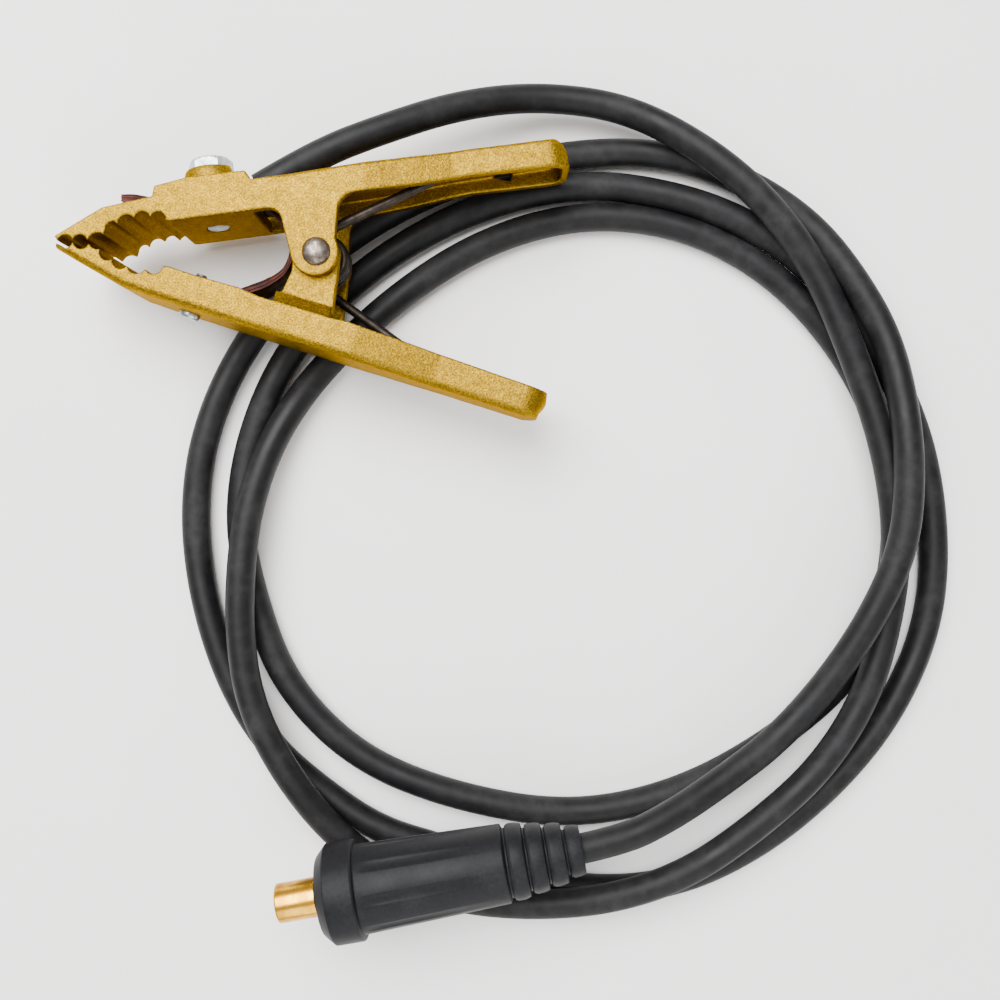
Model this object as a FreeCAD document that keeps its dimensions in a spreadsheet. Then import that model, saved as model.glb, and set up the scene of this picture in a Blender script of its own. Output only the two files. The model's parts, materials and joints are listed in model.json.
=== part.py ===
import FreeCAD, Part
import math
import os
import Sketcher
from FreeCAD import Placement, Rotation, Vector

# Spring-type earth clamp for welding, lying on its side on its loosely coiled cable.
# Frame: X along the clamp (jaws at -X, handles at +X), Y towards the upper handle, Z along
# the pivot rivet.  The origin is the middle of the clamp's box, with Z = 0 at mid width.
# The profiles below are given from the pivot, and every body is placed at the pivot.

doc = FreeCAD.newDocument("GroundClamp")
sheet = doc.addObject("Spreadsheet::Sheet", "Sizes")

SIZES = [
    ("pivot_x", 2.45), ("pivot_y", 0.8),
    ("clamp_width", 34.0), ("wall_gap", 27.0), ("lower_ear_width", 26.4), ("foot_width", 30.0),
    ("handle_width", 25.0), ("handle_corner", 8.0), ("taper_start", 14.0), ("taper_end", 42.0),
    ("upper_end", 81.4), ("lower_end", 79.8), ("ear_gap", 19.0), ("rivet_radius", 3.0),
    ("rivet_running_radius", 3.06), ("rivet_head_radius", 4.65), ("rivet_head_height", 2.6),
    ("bush_outer_radius", 4.9), ("bush_inner_radius", 3.05), ("bush_length", 18.6),
    ("wire_radius", 1.6), ("coil_radius", 7.3), ("coil_height", 12.6), ("leg_angle", 30.5),
    ("upper_leg", 45.0), ("lower_leg", 56.0),
    ("plate_slope", 12.1), ("plate_thickness", 4.0), ("bolt_x", -36.4),
    ("bolt_radius", 4.0), ("bolt_hole_radius", 4.2), ("hex_across_flats", 13.0),
    ("bolt_head_height", 5.3), ("washer_thickness", 2.0), ("washer_radius", 7.0),
    ("strap_thickness", 2.4), ("strap_width", 16.0), ("palm_thickness", 3.0),
    ("palm_radius", 8.0), ("barrel_radius", 3.8), ("conductor_bare", 5.4),
    ("barrel_length", 3.6), ("saddle_radius", 9.5), ("saddle_seat", 6.3), ("saddle_rim", 10.0),
    ("saddle_recess", 8.0), ("tongue_length", 11.1), ("tongue_width", 10.0),
    ("lug_bore_depth", 6.0), ("washer_split", 1.2), ("set_screw_length", 3.1),
    ("conductor_radius", 3.0), ("cable_radius", 5.0),
    ("strap_screw_radius", 2.0), ("strap_hole_radius", 2.3), ("screw_head_radius", 3.5),
    ("screw_head_height", 2.4),
    ("strap_nut_flats", 7.0), ("strap_nut_height", 3.2), ("small_washer_radius", 4.0),
    ("small_washer_thickness", 0.8), ("strap_screw_x", -43.55), ("strap_screw_y", -20.81),
    ("strap_screw_tilt", 12.58), ("strap_screw_length", 13.4),
    ("plug_x", 2.35), ("plug_y", -216.0), ("plug_z", 2.8), ("plug_angle", 15.1),
    ("pin_radius", 6.5), ("pin_tip", 1.5), ("pin_exposed", 16.5), ("pin_body_radius", 8.0),
    ("pin_length", 62.0), ("sleeve_flange_radius", 16.5), ("sleeve_radius", 14.5),
    ("sleeve_rear_radius", 12.9), ("sleeve_length", 88.6),
    ("cable_depth", 16.4), ("ferrule_radius", 4.2), ("ferrule_length", 26.0),
    ("set_screw_radius", 3.0), ("retaining_pin_radius", 1.5), ("retaining_pin_length", 26.0),
]
for row, (alias, number) in enumerate(SIZES, start=1):
    sheet.set("A%d" % row, alias)
    sheet.set("B%d" % row, str(number))
    sheet.setAlias("B%d" % row, alias)
doc.recompute()


def size(alias):
    return float(sheet.get(alias))


PIVOT = Vector(size("pivot_x"), size("pivot_y"), 0)
PARTS = []


# ---- helpers -------------------------------------------------------------------------

def new_body(label, place=None):
    body = doc.addObject("PartDesign::Body", label)
    body.Label = label
    body.Placement = place or Placement(PIVOT, Rotation())
    PARTS.append(body)
    return body


def new_sketch(body, name, role="XY_Plane", lift=0.0):
    sketch = body.newObject("Sketcher::SketchObject", name)
    plane = [item for item in body.Origin.OriginFeatures if item.Role == role][0]
    sketch.AttachmentSupport = [(plane, "")]
    sketch.MapMode = "FlatFace"
    sketch.AttachmentOffset = Placement(Vector(0, 0, lift), Rotation())
    return sketch


def draw_outline(sketch, points):
    corners = [Vector(x, y, 0) for x, y in points]
    for start, end in zip(corners, corners[1:] + corners[:1]):
        sketch.addGeometry(Part.LineSegment(start, end), False)


def draw_circle(sketch, x, y, radius):
    sketch.addGeometry(Part.Circle(Vector(x, y, 0), Vector(0, 0, 1), radius), False)


def draw_hexagon(sketch, across_flats):
    corner = across_flats / math.sqrt(3)
    turns = [math.radians(60 * k) for k in range(6)]
    draw_outline(sketch, [(corner * math.cos(t), corner * math.sin(t)) for t in turns])


def bind_symmetric(feature, alias):
    feature.SideType = "Symmetric"
    feature.setExpression("Length", "Sizes." + alias)


def slab(body, name, points, alias):
    """Adds an outline as a plate of the named width, centred on the mid-plane."""
    sketch = new_sketch(body, name + "_outline")
    draw_outline(sketch, points)
    pad = body.newObject("PartDesign::Pad", name)
    pad.Profile = sketch
    bind_symmetric(pad, alias)
    doc.recompute()
    return pad


def carve(body, name, points, alias):
    """Cuts an outline over the named width and checks that it took something away."""
    before = body.Shape.Volume
    sketch = new_sketch(body, name + "_outline")
    draw_outline(sketch, points)
    pocket = body.newObject("PartDesign::Pocket", name)
    pocket.Profile = sketch
    bind_symmetric(pocket, alias)
    doc.recompute()
    require_less(before, body, name)
    return pocket


def require_less(before, body, name):
    if body.Shape.Volume > before - 0.5:
        raise RuntimeError("%s cut nothing from %s" % (name, body.Label))


def drill(body, name, x, y, alias, width_alias):
    """A round hole through the whole width, along Z."""
    before = body.Shape.Volume
    sketch = new_sketch(body, name + "_circle")
    draw_circle(sketch, x, y, size(alias))
    bind_radius(sketch, alias)
    pocket = body.newObject("PartDesign::Pocket", name)
    pocket.Profile = sketch
    bind_symmetric(pocket, width_alias)
    doc.recompute()
    require_less(before, body, name)


def bore(body, name, place, alias, depth):
    """A round hole along the local Z of `place`, given in the body's own frame."""
    before = body.Shape.Volume
    sketch = new_sketch(body, name + "_circle")
    sketch.AttachmentOffset = place
    draw_circle(sketch, 0, 0, size(alias))
    bind_radius(sketch, alias)
    pocket = body.newObject("PartDesign::Pocket", name)
    pocket.Profile = sketch
    pocket.Reversed = True
    pocket.Length = depth
    doc.recompute()
    require_less(before, body, name)


def bind_radius(sketch, alias):
    index = sketch.addConstraint(Sketcher.Constraint("Radius", sketch.GeometryCount - 1, size(alias)))
    sketch.setExpression("Constraints[%d]" % index, "Sizes." + alias)


def primitive(kind, name, place, **bindings):
    """A Part primitive at a place, with each property bound to an expression."""
    item = doc.addObject("Part::" + kind, name)
    for prop, expression in bindings.items():
        item.setExpression(prop, expression)
    item.Placement = place
    return item


def combine(kind, label, base, tool, keep=True):
    item = doc.addObject("Part::" + kind, label)
    item.Base = base
    item.Tool = tool
    if keep:
        item.Label = label
        PARTS.append(item)
    return item


def plain_part(label, shape, place=None):
    item = doc.addObject("Part::Feature", label)
    item.Label = label
    item.Shape = shape
    item.Placement = place or Placement()
    PARTS.append(item)
    return item


# ---- frames of the tilted pieces -------------------------------------------------------

PLATE_SLOPE = math.radians(size("plate_slope"))
FLOOR_FRONT = (-47.8, 5.7)


def floor_point(x, level):
    """A point above the jaw floor's inner face, `level` mm out along its normal."""
    rise = math.tan(PLATE_SLOPE) * (x - FLOOR_FRONT[0])
    return (x, FLOOR_FRONT[1] + rise + level / math.cos(PLATE_SLOPE))


PLATE_ALONG = Vector(math.cos(PLATE_SLOPE), math.sin(PLATE_SLOPE), 0)
PLATE_UP = Vector(-math.sin(PLATE_SLOPE), math.cos(PLATE_SLOPE), 0)
BOLT_SPOT = Vector(*floor_point(size("bolt_x"), 0.0), 0)
BOLT_FOOT = PIVOT + BOLT_SPOT
SCREW_TILT = math.radians(size("strap_screw_tilt"))
SCREW_UP = Vector(math.sin(SCREW_TILT), math.cos(SCREW_TILT), 0)
SCREW_SPOT = Vector(size("strap_screw_x"), size("strap_screw_y"), 0)
SCREW_FOOT = PIVOT + SCREW_SPOT


def standing(foot, up, height):
    """Local Z along `up` and local X towards the handles, at a height above the foot."""
    side = Vector(0, 0, 1)
    ahead = up.cross(side)
    return Placement(foot + up * height, Rotation(ahead, side.negative(), up, "ZXY"))


STRAP_LEVEL = size("plate_thickness")
PLATE_END = -21.8
PALM_LEVEL = STRAP_LEVEL + size("strap_thickness")
SADDLE_LEVEL = PALM_LEVEL + size("palm_thickness")
WASHER_LEVEL = SADDLE_LEVEL + size("saddle_seat")
HEAD_LEVEL = WASHER_LEVEL + size("washer_thickness")


# ---- levers ----------------------------------------------------------------------------

def arc_points(x, y, radius, first, last, count):
    turns = [math.radians(first + (last - first) * k / count) for k in range(count + 1)]
    return [(x + radius * math.cos(t), y + radius * math.sin(t)) for t in turns]


def arc_through(start, middle, end, count=6):
    """Points on the circle through three points, from the first to the last."""
    arc = Part.Arc(*[Vector(x, y, 0) for x, y in (start, middle, end)])
    return [(spot.x, spot.y) for spot in arc.toShape().discretize(count + 1)]


def scallops(edge):
    """An edge of round grooves: every second point is the bottom of one."""
    points = [edge[0]]
    for start, bottom, end in zip(edge[0::2], edge[1::2], edge[2::2]):
        points += arc_through(start, bottom, end)[1:]
    return points


UPPER_TEETH = [
    (-49.2, 5.7), (-51.8, 8.4), (-54.2, 6.1), (-56.8, 8.0), (-59.3, 5.3), (-62.0, 6.5),
    (-64.4, 3.0), (-66.5, 3.9), (-68.1, 2.4),
]
UPPER_TIP_TEETH = [
    (-68.6, -0.6), (-71.2, -0.2), (-73.7, -3.1), (-76.1, -1.2), (-78.6, -3.2), (-80.9, -1.7),
    (-83.4, -3.9),
]
LOWER_TEETH = [
    (-83.6, -4.4), (-80.9, -6.0), (-78.4, -3.5), (-75.7, -5.8), (-73.2, -3.4), (-70.9, -5.4),
    (-69.2, -5.0), (-67.0, -8.7), (-65.2, -8.0), (-62.3, -11.0), (-60.2, -9.7), (-57.2, -12.2),
    (-54.4, -10.3), (-51.6, -11.8), (-48.9, -8.9),
]
EAR_RADIUS = 7.8
EAR_MIDDLE = -0.6
HANDLE_DEPTH = 60.0
UPPER_WEB = Vector(0.0, 23.54, 0.0)
UPPER_WEB_ANGLE = math.radians(13.5)
LOWER_WEB = Vector(0.0, -27.46, 0.0)
LOWER_WEB_ANGLE = math.radians(-12.56)


def draw_mirrored(sketch, half, corner):
    """An outline and its mirror image about local X, with one corner rounded to an arc."""
    for sign in (1, -1):
        spots = [Vector(x, sign * y, 0) for x, y in half]
        for start, end in zip(spots, spots[1:]):
            sketch.addGeometry(Part.LineSegment(start, end), False)
        start, middle, end = [Vector(x, sign * y, 0) for x, y in corner]
        sketch.addGeometry(Part.Arc(start, middle, end), False)


def corner_arc(end, half_width, radius):
    """Start, middle and end of the rounding where a handle's side meets its end."""
    slant = radius * (1 - math.sqrt(0.5))
    return [(end - radius, half_width), (end - slant, half_width - slant),
            (end, half_width - radius)]


def round_handle(body, web, angle, end, into):
    """Narrows a lever towards a rounded end, and hollows it from its web's inner face."""
    place = standing(web, Vector(-math.sin(angle), math.cos(angle), 0), 0.0)
    radius = size("handle_corner")
    full = size("clamp_width") / 2
    narrow = size("handle_width") / 2
    wall = full - size("wall_gap") / 2
    first, last = size("taper_start"), size("taper_end")
    arc = corner_arc(end, narrow, radius)
    half = [arc[2], (end + 20.0, narrow - radius), (end + 20.0, 40.0), (first, 40.0),
            (first, full), (last, narrow), arc[0]]
    before = body.Shape.Volume
    sketch = new_sketch(body, body.Label + "_plan")
    sketch.AttachmentOffset = place
    draw_mirrored(sketch, half, arc)
    sides = body.newObject("PartDesign::Pocket", body.Label + "_sides")
    sides.Profile = sketch
    sides.SideType = "Symmetric"
    sides.Length = 2 * HANDLE_DEPTH
    doc.recompute()
    require_less(before, body, "the taper")
    arc = corner_arc(end - wall, narrow - wall, radius - wall)
    half = [arc[2], (end - wall, 0.0)]
    rest = [arc[0], (last, narrow - wall), (first, full - wall), (8.0, full - wall), (8.0, 0.0)]
    before = body.Shape.Volume
    sketch = new_sketch(body, body.Label + "_hollow_plan")
    sketch.AttachmentOffset = place
    draw_mirrored(sketch, half, arc)
    draw_mirrored_lines(sketch, rest)
    hollow = body.newObject("PartDesign::Pocket", body.Label + "_hollow")
    hollow.Profile = sketch
    hollow.Reversed = into
    hollow.Length = HANDLE_DEPTH
    doc.recompute()
    require_less(before, body, "the hollow")


def draw_mirrored_lines(sketch, half):
    for sign in (1, -1):
        spots = [Vector(x, sign * y, 0) for x, y in half]
        for start, end in zip(spots, spots[1:]):
            sketch.addGeometry(Part.LineSegment(start, end), False)


def build_upper_jaw():
    body = new_body("upper_jaw")
    ear = arc_points(EAR_MIDDLE, 0, EAR_RADIUS, 390, 190, 18)
    outline = [(-84.5, -2.3), (-70.0, 8.2), (-54.2, 13.2), (-54.0, 16.5), (-43.2, 20.4)]
    outline += [(-28.0, 23.6), (-25.2, 24.1), (-23.1, 21.4), (46.0, 38.9)]
    outline += arc_through((73.5, 44.8), (78.3, 42.4), (79.8, 38.4))
    outline += [(79.0, 36.8), (75.8, 36.0), (46.7, 30.0), (26.7, 24.3)]
    outline += arc_through((10.6, 20.3), (7.3, 18.4), (5.7, 14.8)) + [(5.8, 5.5)] + ear
    outline += arc_through((-12.0, 9.0), (-13.6, 11.7), (-16.8, 12.6)) + [FLOOR_FRONT]
    outline += scallops(UPPER_TEETH) + scallops(UPPER_TIP_TEETH)
    slab(body, "upper_casting", outline, "clamp_width")
    floor = [floor_point(x, STRAP_LEVEL) for x in (-51.0, PLATE_END)]
    inside = [(-66.0, 9.5), (-56.0, 9.5)] + floor + [(PLATE_END, -20.0)]
    inside += [(10.0, -20.0), (10.0, 25.94), (-6.0, 22.1), (-6.0, 60.0), (-66.0, 60.0)]
    carve(body, "upper_channel", inside, "wall_gap")
    round_handle(body, UPPER_WEB, UPPER_WEB_ANGLE, size("upper_end"), False)
    cut_cast_slot(body)
    drill(body, "upper_rivet_hole", 0, 0, "rivet_radius", "clamp_width")
    bore(body, "bolt_tap", standing(BOLT_SPOT, PLATE_UP, -4.0), "bolt_radius", 10.0)


CAST_SLOT = [(52.5, 36.6), (60.5, 38.4), (60.0, 35.4)]


def cut_cast_slot(body):
    """The small three-cornered hole in the far flange near the handle's end."""
    before = body.Shape.Volume
    sketch = new_sketch(body, "cast_slot_outline", lift=-size("clamp_width") / 2)
    draw_outline(sketch, CAST_SLOT)
    pocket = body.newObject("PartDesign::Pocket", "cast_slot")
    pocket.Profile = sketch
    pocket.Reversed = True
    pocket.setExpression("Length", "Sizes.clamp_width / 2")
    doc.recompute()
    require_less(before, body, "cast_slot")


def build_lower_jaw():
    body = new_body("lower_jaw")
    outline = [(-84.2, -6.0), (-77.4, -9.3), (-71.6, -12.0), (-62.3, -16.3), (-54.6, -18.2)]
    outline += [(-44.5, -20.6), (71.1, -46.4), (76.0, -46.6), (78.4, -44.4), (78.5, -38.0)]
    outline += [(31.4, -26.2), (11.3, -21.4), (5.8, -20.7), (-16.8, -16.0), (-24.1, -13.6)]
    outline += [(-38.8, -10.9), (-46.5, -8.9)] + scallops(LOWER_TEETH)[::-1]
    slab(body, "lower_casting", outline, "clamp_width")
    inside = [(-46.5, -17.1), (10.0, -29.69), (10.0, 30.0), (-46.5, 30.0)]
    carve(body, "lower_channel", inside, "wall_gap")
    round_handle(body, LOWER_WEB, LOWER_WEB_ANGLE, size("lower_end"), True)
    ear = arc_points(EAR_MIDDLE, 0, EAR_RADIUS, 200, -8, 16)
    foot = [(8.6, -31.5), (-13.0, -26.6)]
    slab(body, "lower_ears", [(-13.0, -26.6), (-11.2, -14.5), (-8.1, -6.0)] + ear[1:]
         + [(6.9, -6.5), (6.4, -19.0), (8.6, -31.5)], "lower_ear_width")
    slab(body, "lower_ear_feet", [(-14.0, -18.6), (-11.4, -15.6), (6.4, -19.6)]
         + [(9.6, -23.2)] + foot, "foot_width")
    gap = [(-18.0, -23.43), (18.0, -31.47), (18.0, 20.0), (-18.0, 20.0)]
    carve(body, "spring_space", gap, "ear_gap")
    drill(body, "lower_rivet_hole", 0, 0, "rivet_running_radius", "clamp_width")
    bore(body, "strap_tap", standing(SCREW_SPOT, SCREW_UP, -2.0), "strap_screw_radius", 8.0)


# ---- pivot -------------------------------------------------------------------------------

RIVET_FLAT = 1.0


def build_pivot_rivet():
    """A domed head at each end of one shank, turned about Z."""
    body = new_body("pivot_rivet")
    half = size("clamp_width") / 2
    head = size("rivet_head_radius")
    shank = size("rivet_radius")
    rise = size("rivet_head_height")
    sketch = new_sketch(body, "rivet_profile", "XZ_Plane")
    top = half + rise
    dome = [(head, half), (head * 0.8, half + rise * 0.62), (RIVET_FLAT, top), (0, top)]
    low = [Vector(x, -y, 0) for x, y in dome]
    high = [Vector(x, y, 0) for x, y in dome]
    for start, middle, end in (low[:3], high[:3]):
        sketch.addGeometry(Part.Arc(start, middle, end), False)
    straight = [(low[2], low[3]), (low[3], high[3]), (high[3], high[2])]
    straight += [(low[0], Vector(shank, -half, 0)), (high[0], Vector(shank, half, 0))]
    straight.append((Vector(shank, -half, 0), Vector(shank, half, 0)))
    for start, end in straight:
        sketch.addGeometry(Part.LineSegment(start, end), False)
    spin(body, sketch, "rivet_turned", "V_Axis")


def spin(body, sketch, name, axis):
    turned = body.newObject("PartDesign::Revolution", name)
    turned.Profile = sketch
    turned.ReferenceAxis = (sketch, [axis])
    turned.Angle = 360
    doc.recompute()
    return turned


def ring(label, place, outer, inner, height):
    """A plain tube or washer between two named radii."""
    rim = primitive("Cylinder", label + "_rim", place, Radius="Sizes." + outer, Height=height)
    hole = primitive("Cylinder", label + "_bore", place, Radius="Sizes." + inner, Height=height)
    return combine("Cut", label, rim, hole)


def build_spring_bush():
    start = Placement(PIVOT - Vector(0, 0, size("bush_length") / 2), Rotation())
    ring("spring_bush", start, "bush_outer_radius", "bush_inner_radius", "Sizes.bush_length")


def build_torsion_spring():
    """A clockwise coil round the bush with one tangent leg into each handle."""
    radius = size("coil_radius")
    tilt = math.radians(size("leg_angle"))
    rise = size("coil_height")
    turns = 3 + (180 - 2 * size("leg_angle")) / 360
    pitch = rise / turns
    first = math.radians(270 - size("leg_angle"))
    coil = Part.makeHelix(pitch, rise, radius, 0, True)
    coil.rotate(Vector(0, 0, 0), Vector(0, 0, 1), math.degrees(first))
    coil.translate(Vector(0, 0, -rise / 2))
    low = Vector(radius * math.cos(first), radius * math.sin(first), -rise / 2)
    high = Vector(low.x, -low.y, rise / 2)
    low_tip = low + Vector(math.cos(tilt), -math.sin(tilt), 0) * size("lower_leg")
    high_tip = high + Vector(math.cos(tilt), math.sin(tilt), 0) * size("upper_leg")
    legs = [(low_tip, low), (high, high_tip)]
    solids = [tube([start, end], size("wire_radius")) for start, end in legs]
    solids += [Part.makeSphere(size("wire_radius"), bend) for bend in (low, high)]
    whole = swept(coil, size("wire_radius")).fuse(solids)
    return plain_part("torsion_spring", whole, Placement(PIVOT, Rotation()))


def swept(wire, radius):
    edge = wire.Edges[0]
    start = edge.valueAt(edge.FirstParameter)
    along = edge.tangentAt(edge.FirstParameter)
    section = Part.Wire([Part.makeCircle(radius, start, along)])
    return Part.Wire(wire.Edges).makePipeShell([section], True, True)


# ---- cable route -------------------------------------------------------------------------
# Points from the pivot, in the order that the cable runs: out of the clamp over the upper
# handle, then three and a half loose turns on the table and over each other, to the plug.

CABLE_ROUTE = [
    (-24, 23, 0.0), (-6, 36, 0.0), (15, 47, -1.7), (40, 60, -8.7), (67, 68, -15.7),
    (98, 67, -16.2), (126, 53, -10.2), (149, 36, -8.5), (169, 14, -10.2), (185, -15, -12.0),
    (198, -44, -12.2), (205, -73, -12.2), (205, -100, -12.2), (200, -131, -13.2),
    (186, -158, -12.7), (165, -180, -12.1), (142, -199, -12.0), (116, -210, -11.9),
    (88, -215, -13.5), (62, -216, -17.0), (39, -210, -18.2), (18, -196, -14.7),
    (0, -176, -11.7), (-14, -154, -11.7), (-20, -131, -11.7), (-22, -106, -11.7),
    (-21, -82, -13.0), (-15, -57, -18.2), (-1, -32, -22.5), (26, -2, -22.7), (57, 20, -22.7),
    (92, 31, -22.7), (129, 28, -22.7), (163, 11, -22.7), (191, -19, -22.7), (207, -54, -22.7),
    (209, -95, -22.7), (196, -127, -22.7), (170, -153, -22.7), (138, -174, -22.7),
    (101, -185, -22.7), (60, -182, -22.7), (23, -171, -22.7), (-5, -147, -22.7),
    (-19, -117, -22.7), (-27, -90, -22.7), (-25, -58, -22.7), (-13, -25, -22.7), (12, 5, -22.7),
    (47, 29, -22.7), (85, 41, -22.0), (117, 39, -20.0), (142, 32, -18.3), (166, 20, -20.2),
    (192, -3, -22.7), (212, -34, -22.7), (222, -70, -22.7), (223, -105, -22.7),
    (212, -138, -22.7), (193, -166, -22.7), (168, -190, -22.7), (140, -206, -22.7),
    (111, -211, -22.7), (84, -208, -22.7), (59, -201, -22.7), (33, -196, -22.7),
    (10, -183, -22.7), (-9, -169, -22.7), (-25, -147, -22.7), (-37, -118, -22.7),
    (-43, -87, -22.7), (-41, -57, -22.7), (-30, -27, -22.7), (-11, 1, -22.7), (16, 24, -22.7),
    (47, 41, -22.7), (84, 52, -22.7), (116, 54, -22.3), (144, 46, -20.5), (166, 32, -16.2),
    (181, 14, -11.2), (194, -7, -7.7), (201, -31, -4.7), (204, -54, -1.9), (204, -78, -1.9),
    (197, -101, -3.7), (186, -125, -8.2), (169, -149, -10.2), (150, -164.5, -6.7),
    (133, -176.0, -1.0), (115, -185.6, 2.8), (88, -192.89, 2.8),
]
ARC_SHARE = 0.45


def rounded_path(points):
    """Straight runs joined by tangent arcs, and the radius of each arc."""
    corners = [Vector(*p) for p in points]
    edges = []
    radii = []
    here = corners[0]
    for before, corner, after in zip(corners, corners[1:], corners[2:]):
        back = before - corner
        ahead = after - corner
        turn = math.pi - back.getAngle(ahead)
        reach = ARC_SHARE * min(back.Length, ahead.Length)
        radius = reach / math.tan(turn / 2)
        back.normalize()
        ahead.normalize()
        start = corner + back * reach
        end = corner + ahead * reach
        inward = (back + ahead).normalize()
        middle = corner + inward * (math.hypot(radius, reach) - radius)
        edges.append(Part.LineSegment(here, start).toShape())
        edges.append(Part.Arc(start, middle, end).toShape())
        radii.append(radius)
        here = end
    edges.append(Part.LineSegment(here, corners[-1]).toShape())
    return Part.Wire(edges), radii


def tube(points, radius):
    """A round bar along the rounded path through the points."""
    path, radii = rounded_path(points)
    along = points_direction(points)
    section = Part.Wire([Part.makeCircle(radius, Vector(*points[0]), along)])
    solid = path.makePipeShell([section], True, False)
    if radii:
        print("arc radii", " ".join("%.0f" % r for r in radii), "smallest %.1f" % min(radii))
        expected = math.pi * radius ** 2 * path.Length
        print("tube length %.1f volume %.1f expected %.1f" % (path.Length, solid.Volume, expected))
    return solid


def points_direction(points):
    return Vector(*points[1]) - Vector(*points[0])


def build_cable():
    plain_part("welding_cable", tube(CABLE_ROUTE, size("cable_radius")), Placement(PIVOT, Rotation()))


# ---- cable connection in the jaw -----------------------------------------------------------

def build_cable_bolt():
    body = new_body("cable_bolt", standing(BOLT_FOOT, PLATE_UP, 0.0))
    shank = new_sketch(body, "shank_circle")
    draw_circle(shank, 0, 0, size("bolt_radius"))
    bind_radius(shank, "bolt_radius")
    pad = body.newObject("PartDesign::Pad", "shank")
    pad.Profile = shank
    pad.Length = HEAD_LEVEL
    head = new_sketch(body, "head_hexagon", lift=HEAD_LEVEL)
    draw_hexagon(head, size("hex_across_flats"))
    pad = body.newObject("PartDesign::Pad", "head")
    pad.Profile = head
    pad.setExpression("Length", "Sizes.bolt_head_height")
    doc.recompute()


SPLIT_SLANT = -12


def build_spring_washer():
    """A split ring: one slanted gap through the section."""
    level = standing(BOLT_FOOT, PLATE_UP, WASHER_LEVEL)
    rim = primitive("Cylinder", "washer_rim", level, Radius="Sizes.washer_radius",
                    Height="Sizes.washer_thickness")
    hole = primitive("Cylinder", "washer_bore", level, Radius="Sizes.bolt_hole_radius",
                     Height="Sizes.washer_thickness")
    whole = combine("Cut", "washer_whole", rim, hole, keep=False)
    corner = Vector(3.0, -size("washer_split") / 2, -size("washer_thickness") / 2)
    slot = level.multiply(Placement(corner, Rotation(Vector(1, 0, 0), SPLIT_SLANT)))
    split = primitive("Box", "washer_split", slot, Length="Sizes.washer_radius",
                      Width="Sizes.washer_split", Height="2 * Sizes.washer_thickness")
    combine("Cut", "spring_washer", whole, split)


def build_clamp_saddle():
    """The round brass block that the bolt presses on the lug, with a rim round the bolt head."""
    body = new_body("clamp_saddle", standing(BOLT_FOOT, PLATE_UP, SADDLE_LEVEL))
    outer = size("saddle_radius")
    tall = size("saddle_rim")
    seat = size("saddle_seat")
    recess = size("saddle_recess")
    hole = size("bolt_hole_radius")
    sketch = new_sketch(body, "saddle_profile", "XZ_Plane")
    draw_outline(sketch, [(hole, 0), (outer - 0.6, 0), (outer, 0.6), (outer, tall - 0.8),
                          (outer - 0.6, tall), (recess, tall), (recess, seat), (hole, seat)])
    spin(body, sketch, "saddle_turned", "V_Axis")
    before = body.Shape.Volume
    groove = new_sketch(body, "saddle_groove", lift=tall)
    draw_outline(groove, [(7.0, -4.6), (12.0, -4.6), (12.0, 4.6), (7.0, 4.6)])
    pocket = body.newObject("PartDesign::Pocket", "saddle_groove_cut")
    pocket.Profile = groove
    pocket.Length = tall
    doc.recompute()
    require_less(before, body, "saddle_groove_cut")


def build_cable_lug():
    """A flat palm under the saddle with a barrel that looks along the cable."""
    palm_place = standing(BOLT_FOOT, PLATE_UP, PALM_LEVEL)
    round_end = primitive("Cylinder", "palm_round", palm_place, Radius="Sizes.palm_radius",
                          Height="Sizes.palm_thickness")
    tongue_place = palm_place.multiply(Placement(Vector(0, -size("tongue_width") / 2, 0), Rotation()))
    tongue = primitive("Box", "palm_tongue", tongue_place, Length="Sizes.tongue_length",
                       Width="Sizes.tongue_width", Height="Sizes.palm_thickness")
    palm = combine("Fuse", "palm", round_end, tongue, keep=False)
    barrel_start, along = conductor_line(-size("conductor_bare"))
    barrel_place = Placement(barrel_start, Rotation(Vector(0, 0, 1), along))
    barrel = primitive("Cylinder", "lug_barrel", barrel_place, Radius="Sizes.barrel_radius",
                       Height="Sizes.barrel_length")
    solid_lug = combine("Fuse", "solid_lug", palm, barrel, keep=False)
    conductor_bore = primitive("Cylinder", "lug_bore", barrel_place,
                               Height="Sizes.lug_bore_depth", Radius="Sizes.conductor_radius")
    bolt_bore = primitive("Cylinder", "palm_bore", palm_place, Radius="Sizes.bolt_hole_radius",
                          Height="Sizes.palm_thickness")
    bores = combine("Fuse", "lug_bores", conductor_bore, bolt_bore, keep=False)
    combine("Cut", "cable_lug", solid_lug, bores)


def conductor_line(offset):
    """A point on the cable's first run, `offset` mm past the end of its jacket."""
    first = Vector(*CABLE_ROUTE[0])
    along = points_direction(CABLE_ROUTE)
    along.normalize()
    return PIVOT + first + along * offset, along


def build_clamp_conductor():
    """The stripped strands from the lug to the end of the jacket."""
    start, along = conductor_line(-size("conductor_bare"))
    place = Placement(start, Rotation(Vector(0, 0, 1), along))
    item = primitive("Cylinder", "clamp_conductor", place, Radius="Sizes.conductor_radius",
                     Height="Sizes.conductor_bare")
    PARTS.append(item)


# ---- bonding strap ---------------------------------------------------------------------------

STRAP_MIDDLE = STRAP_LEVEL + size("strap_thickness") / 2
STRAP_LINE = [
    (-67.4, 14.0), (-62.0, 14.3), (-57.0, 13.5), (-53.2, 11.4), floor_point(-48.8, STRAP_MIDDLE),
    floor_point(-21.4, STRAP_MIDDLE), (-17.0, 14.8), (-13.2, 9.6), (-11.0, 4.2), (-10.5, -0.8),
    (-12.4, -5.6), (-17.2, -9.8), (-25.6, -13.8), (-33.6, -17.1), (-37.6, -17.8), (-46.2, -15.9),
]


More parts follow.
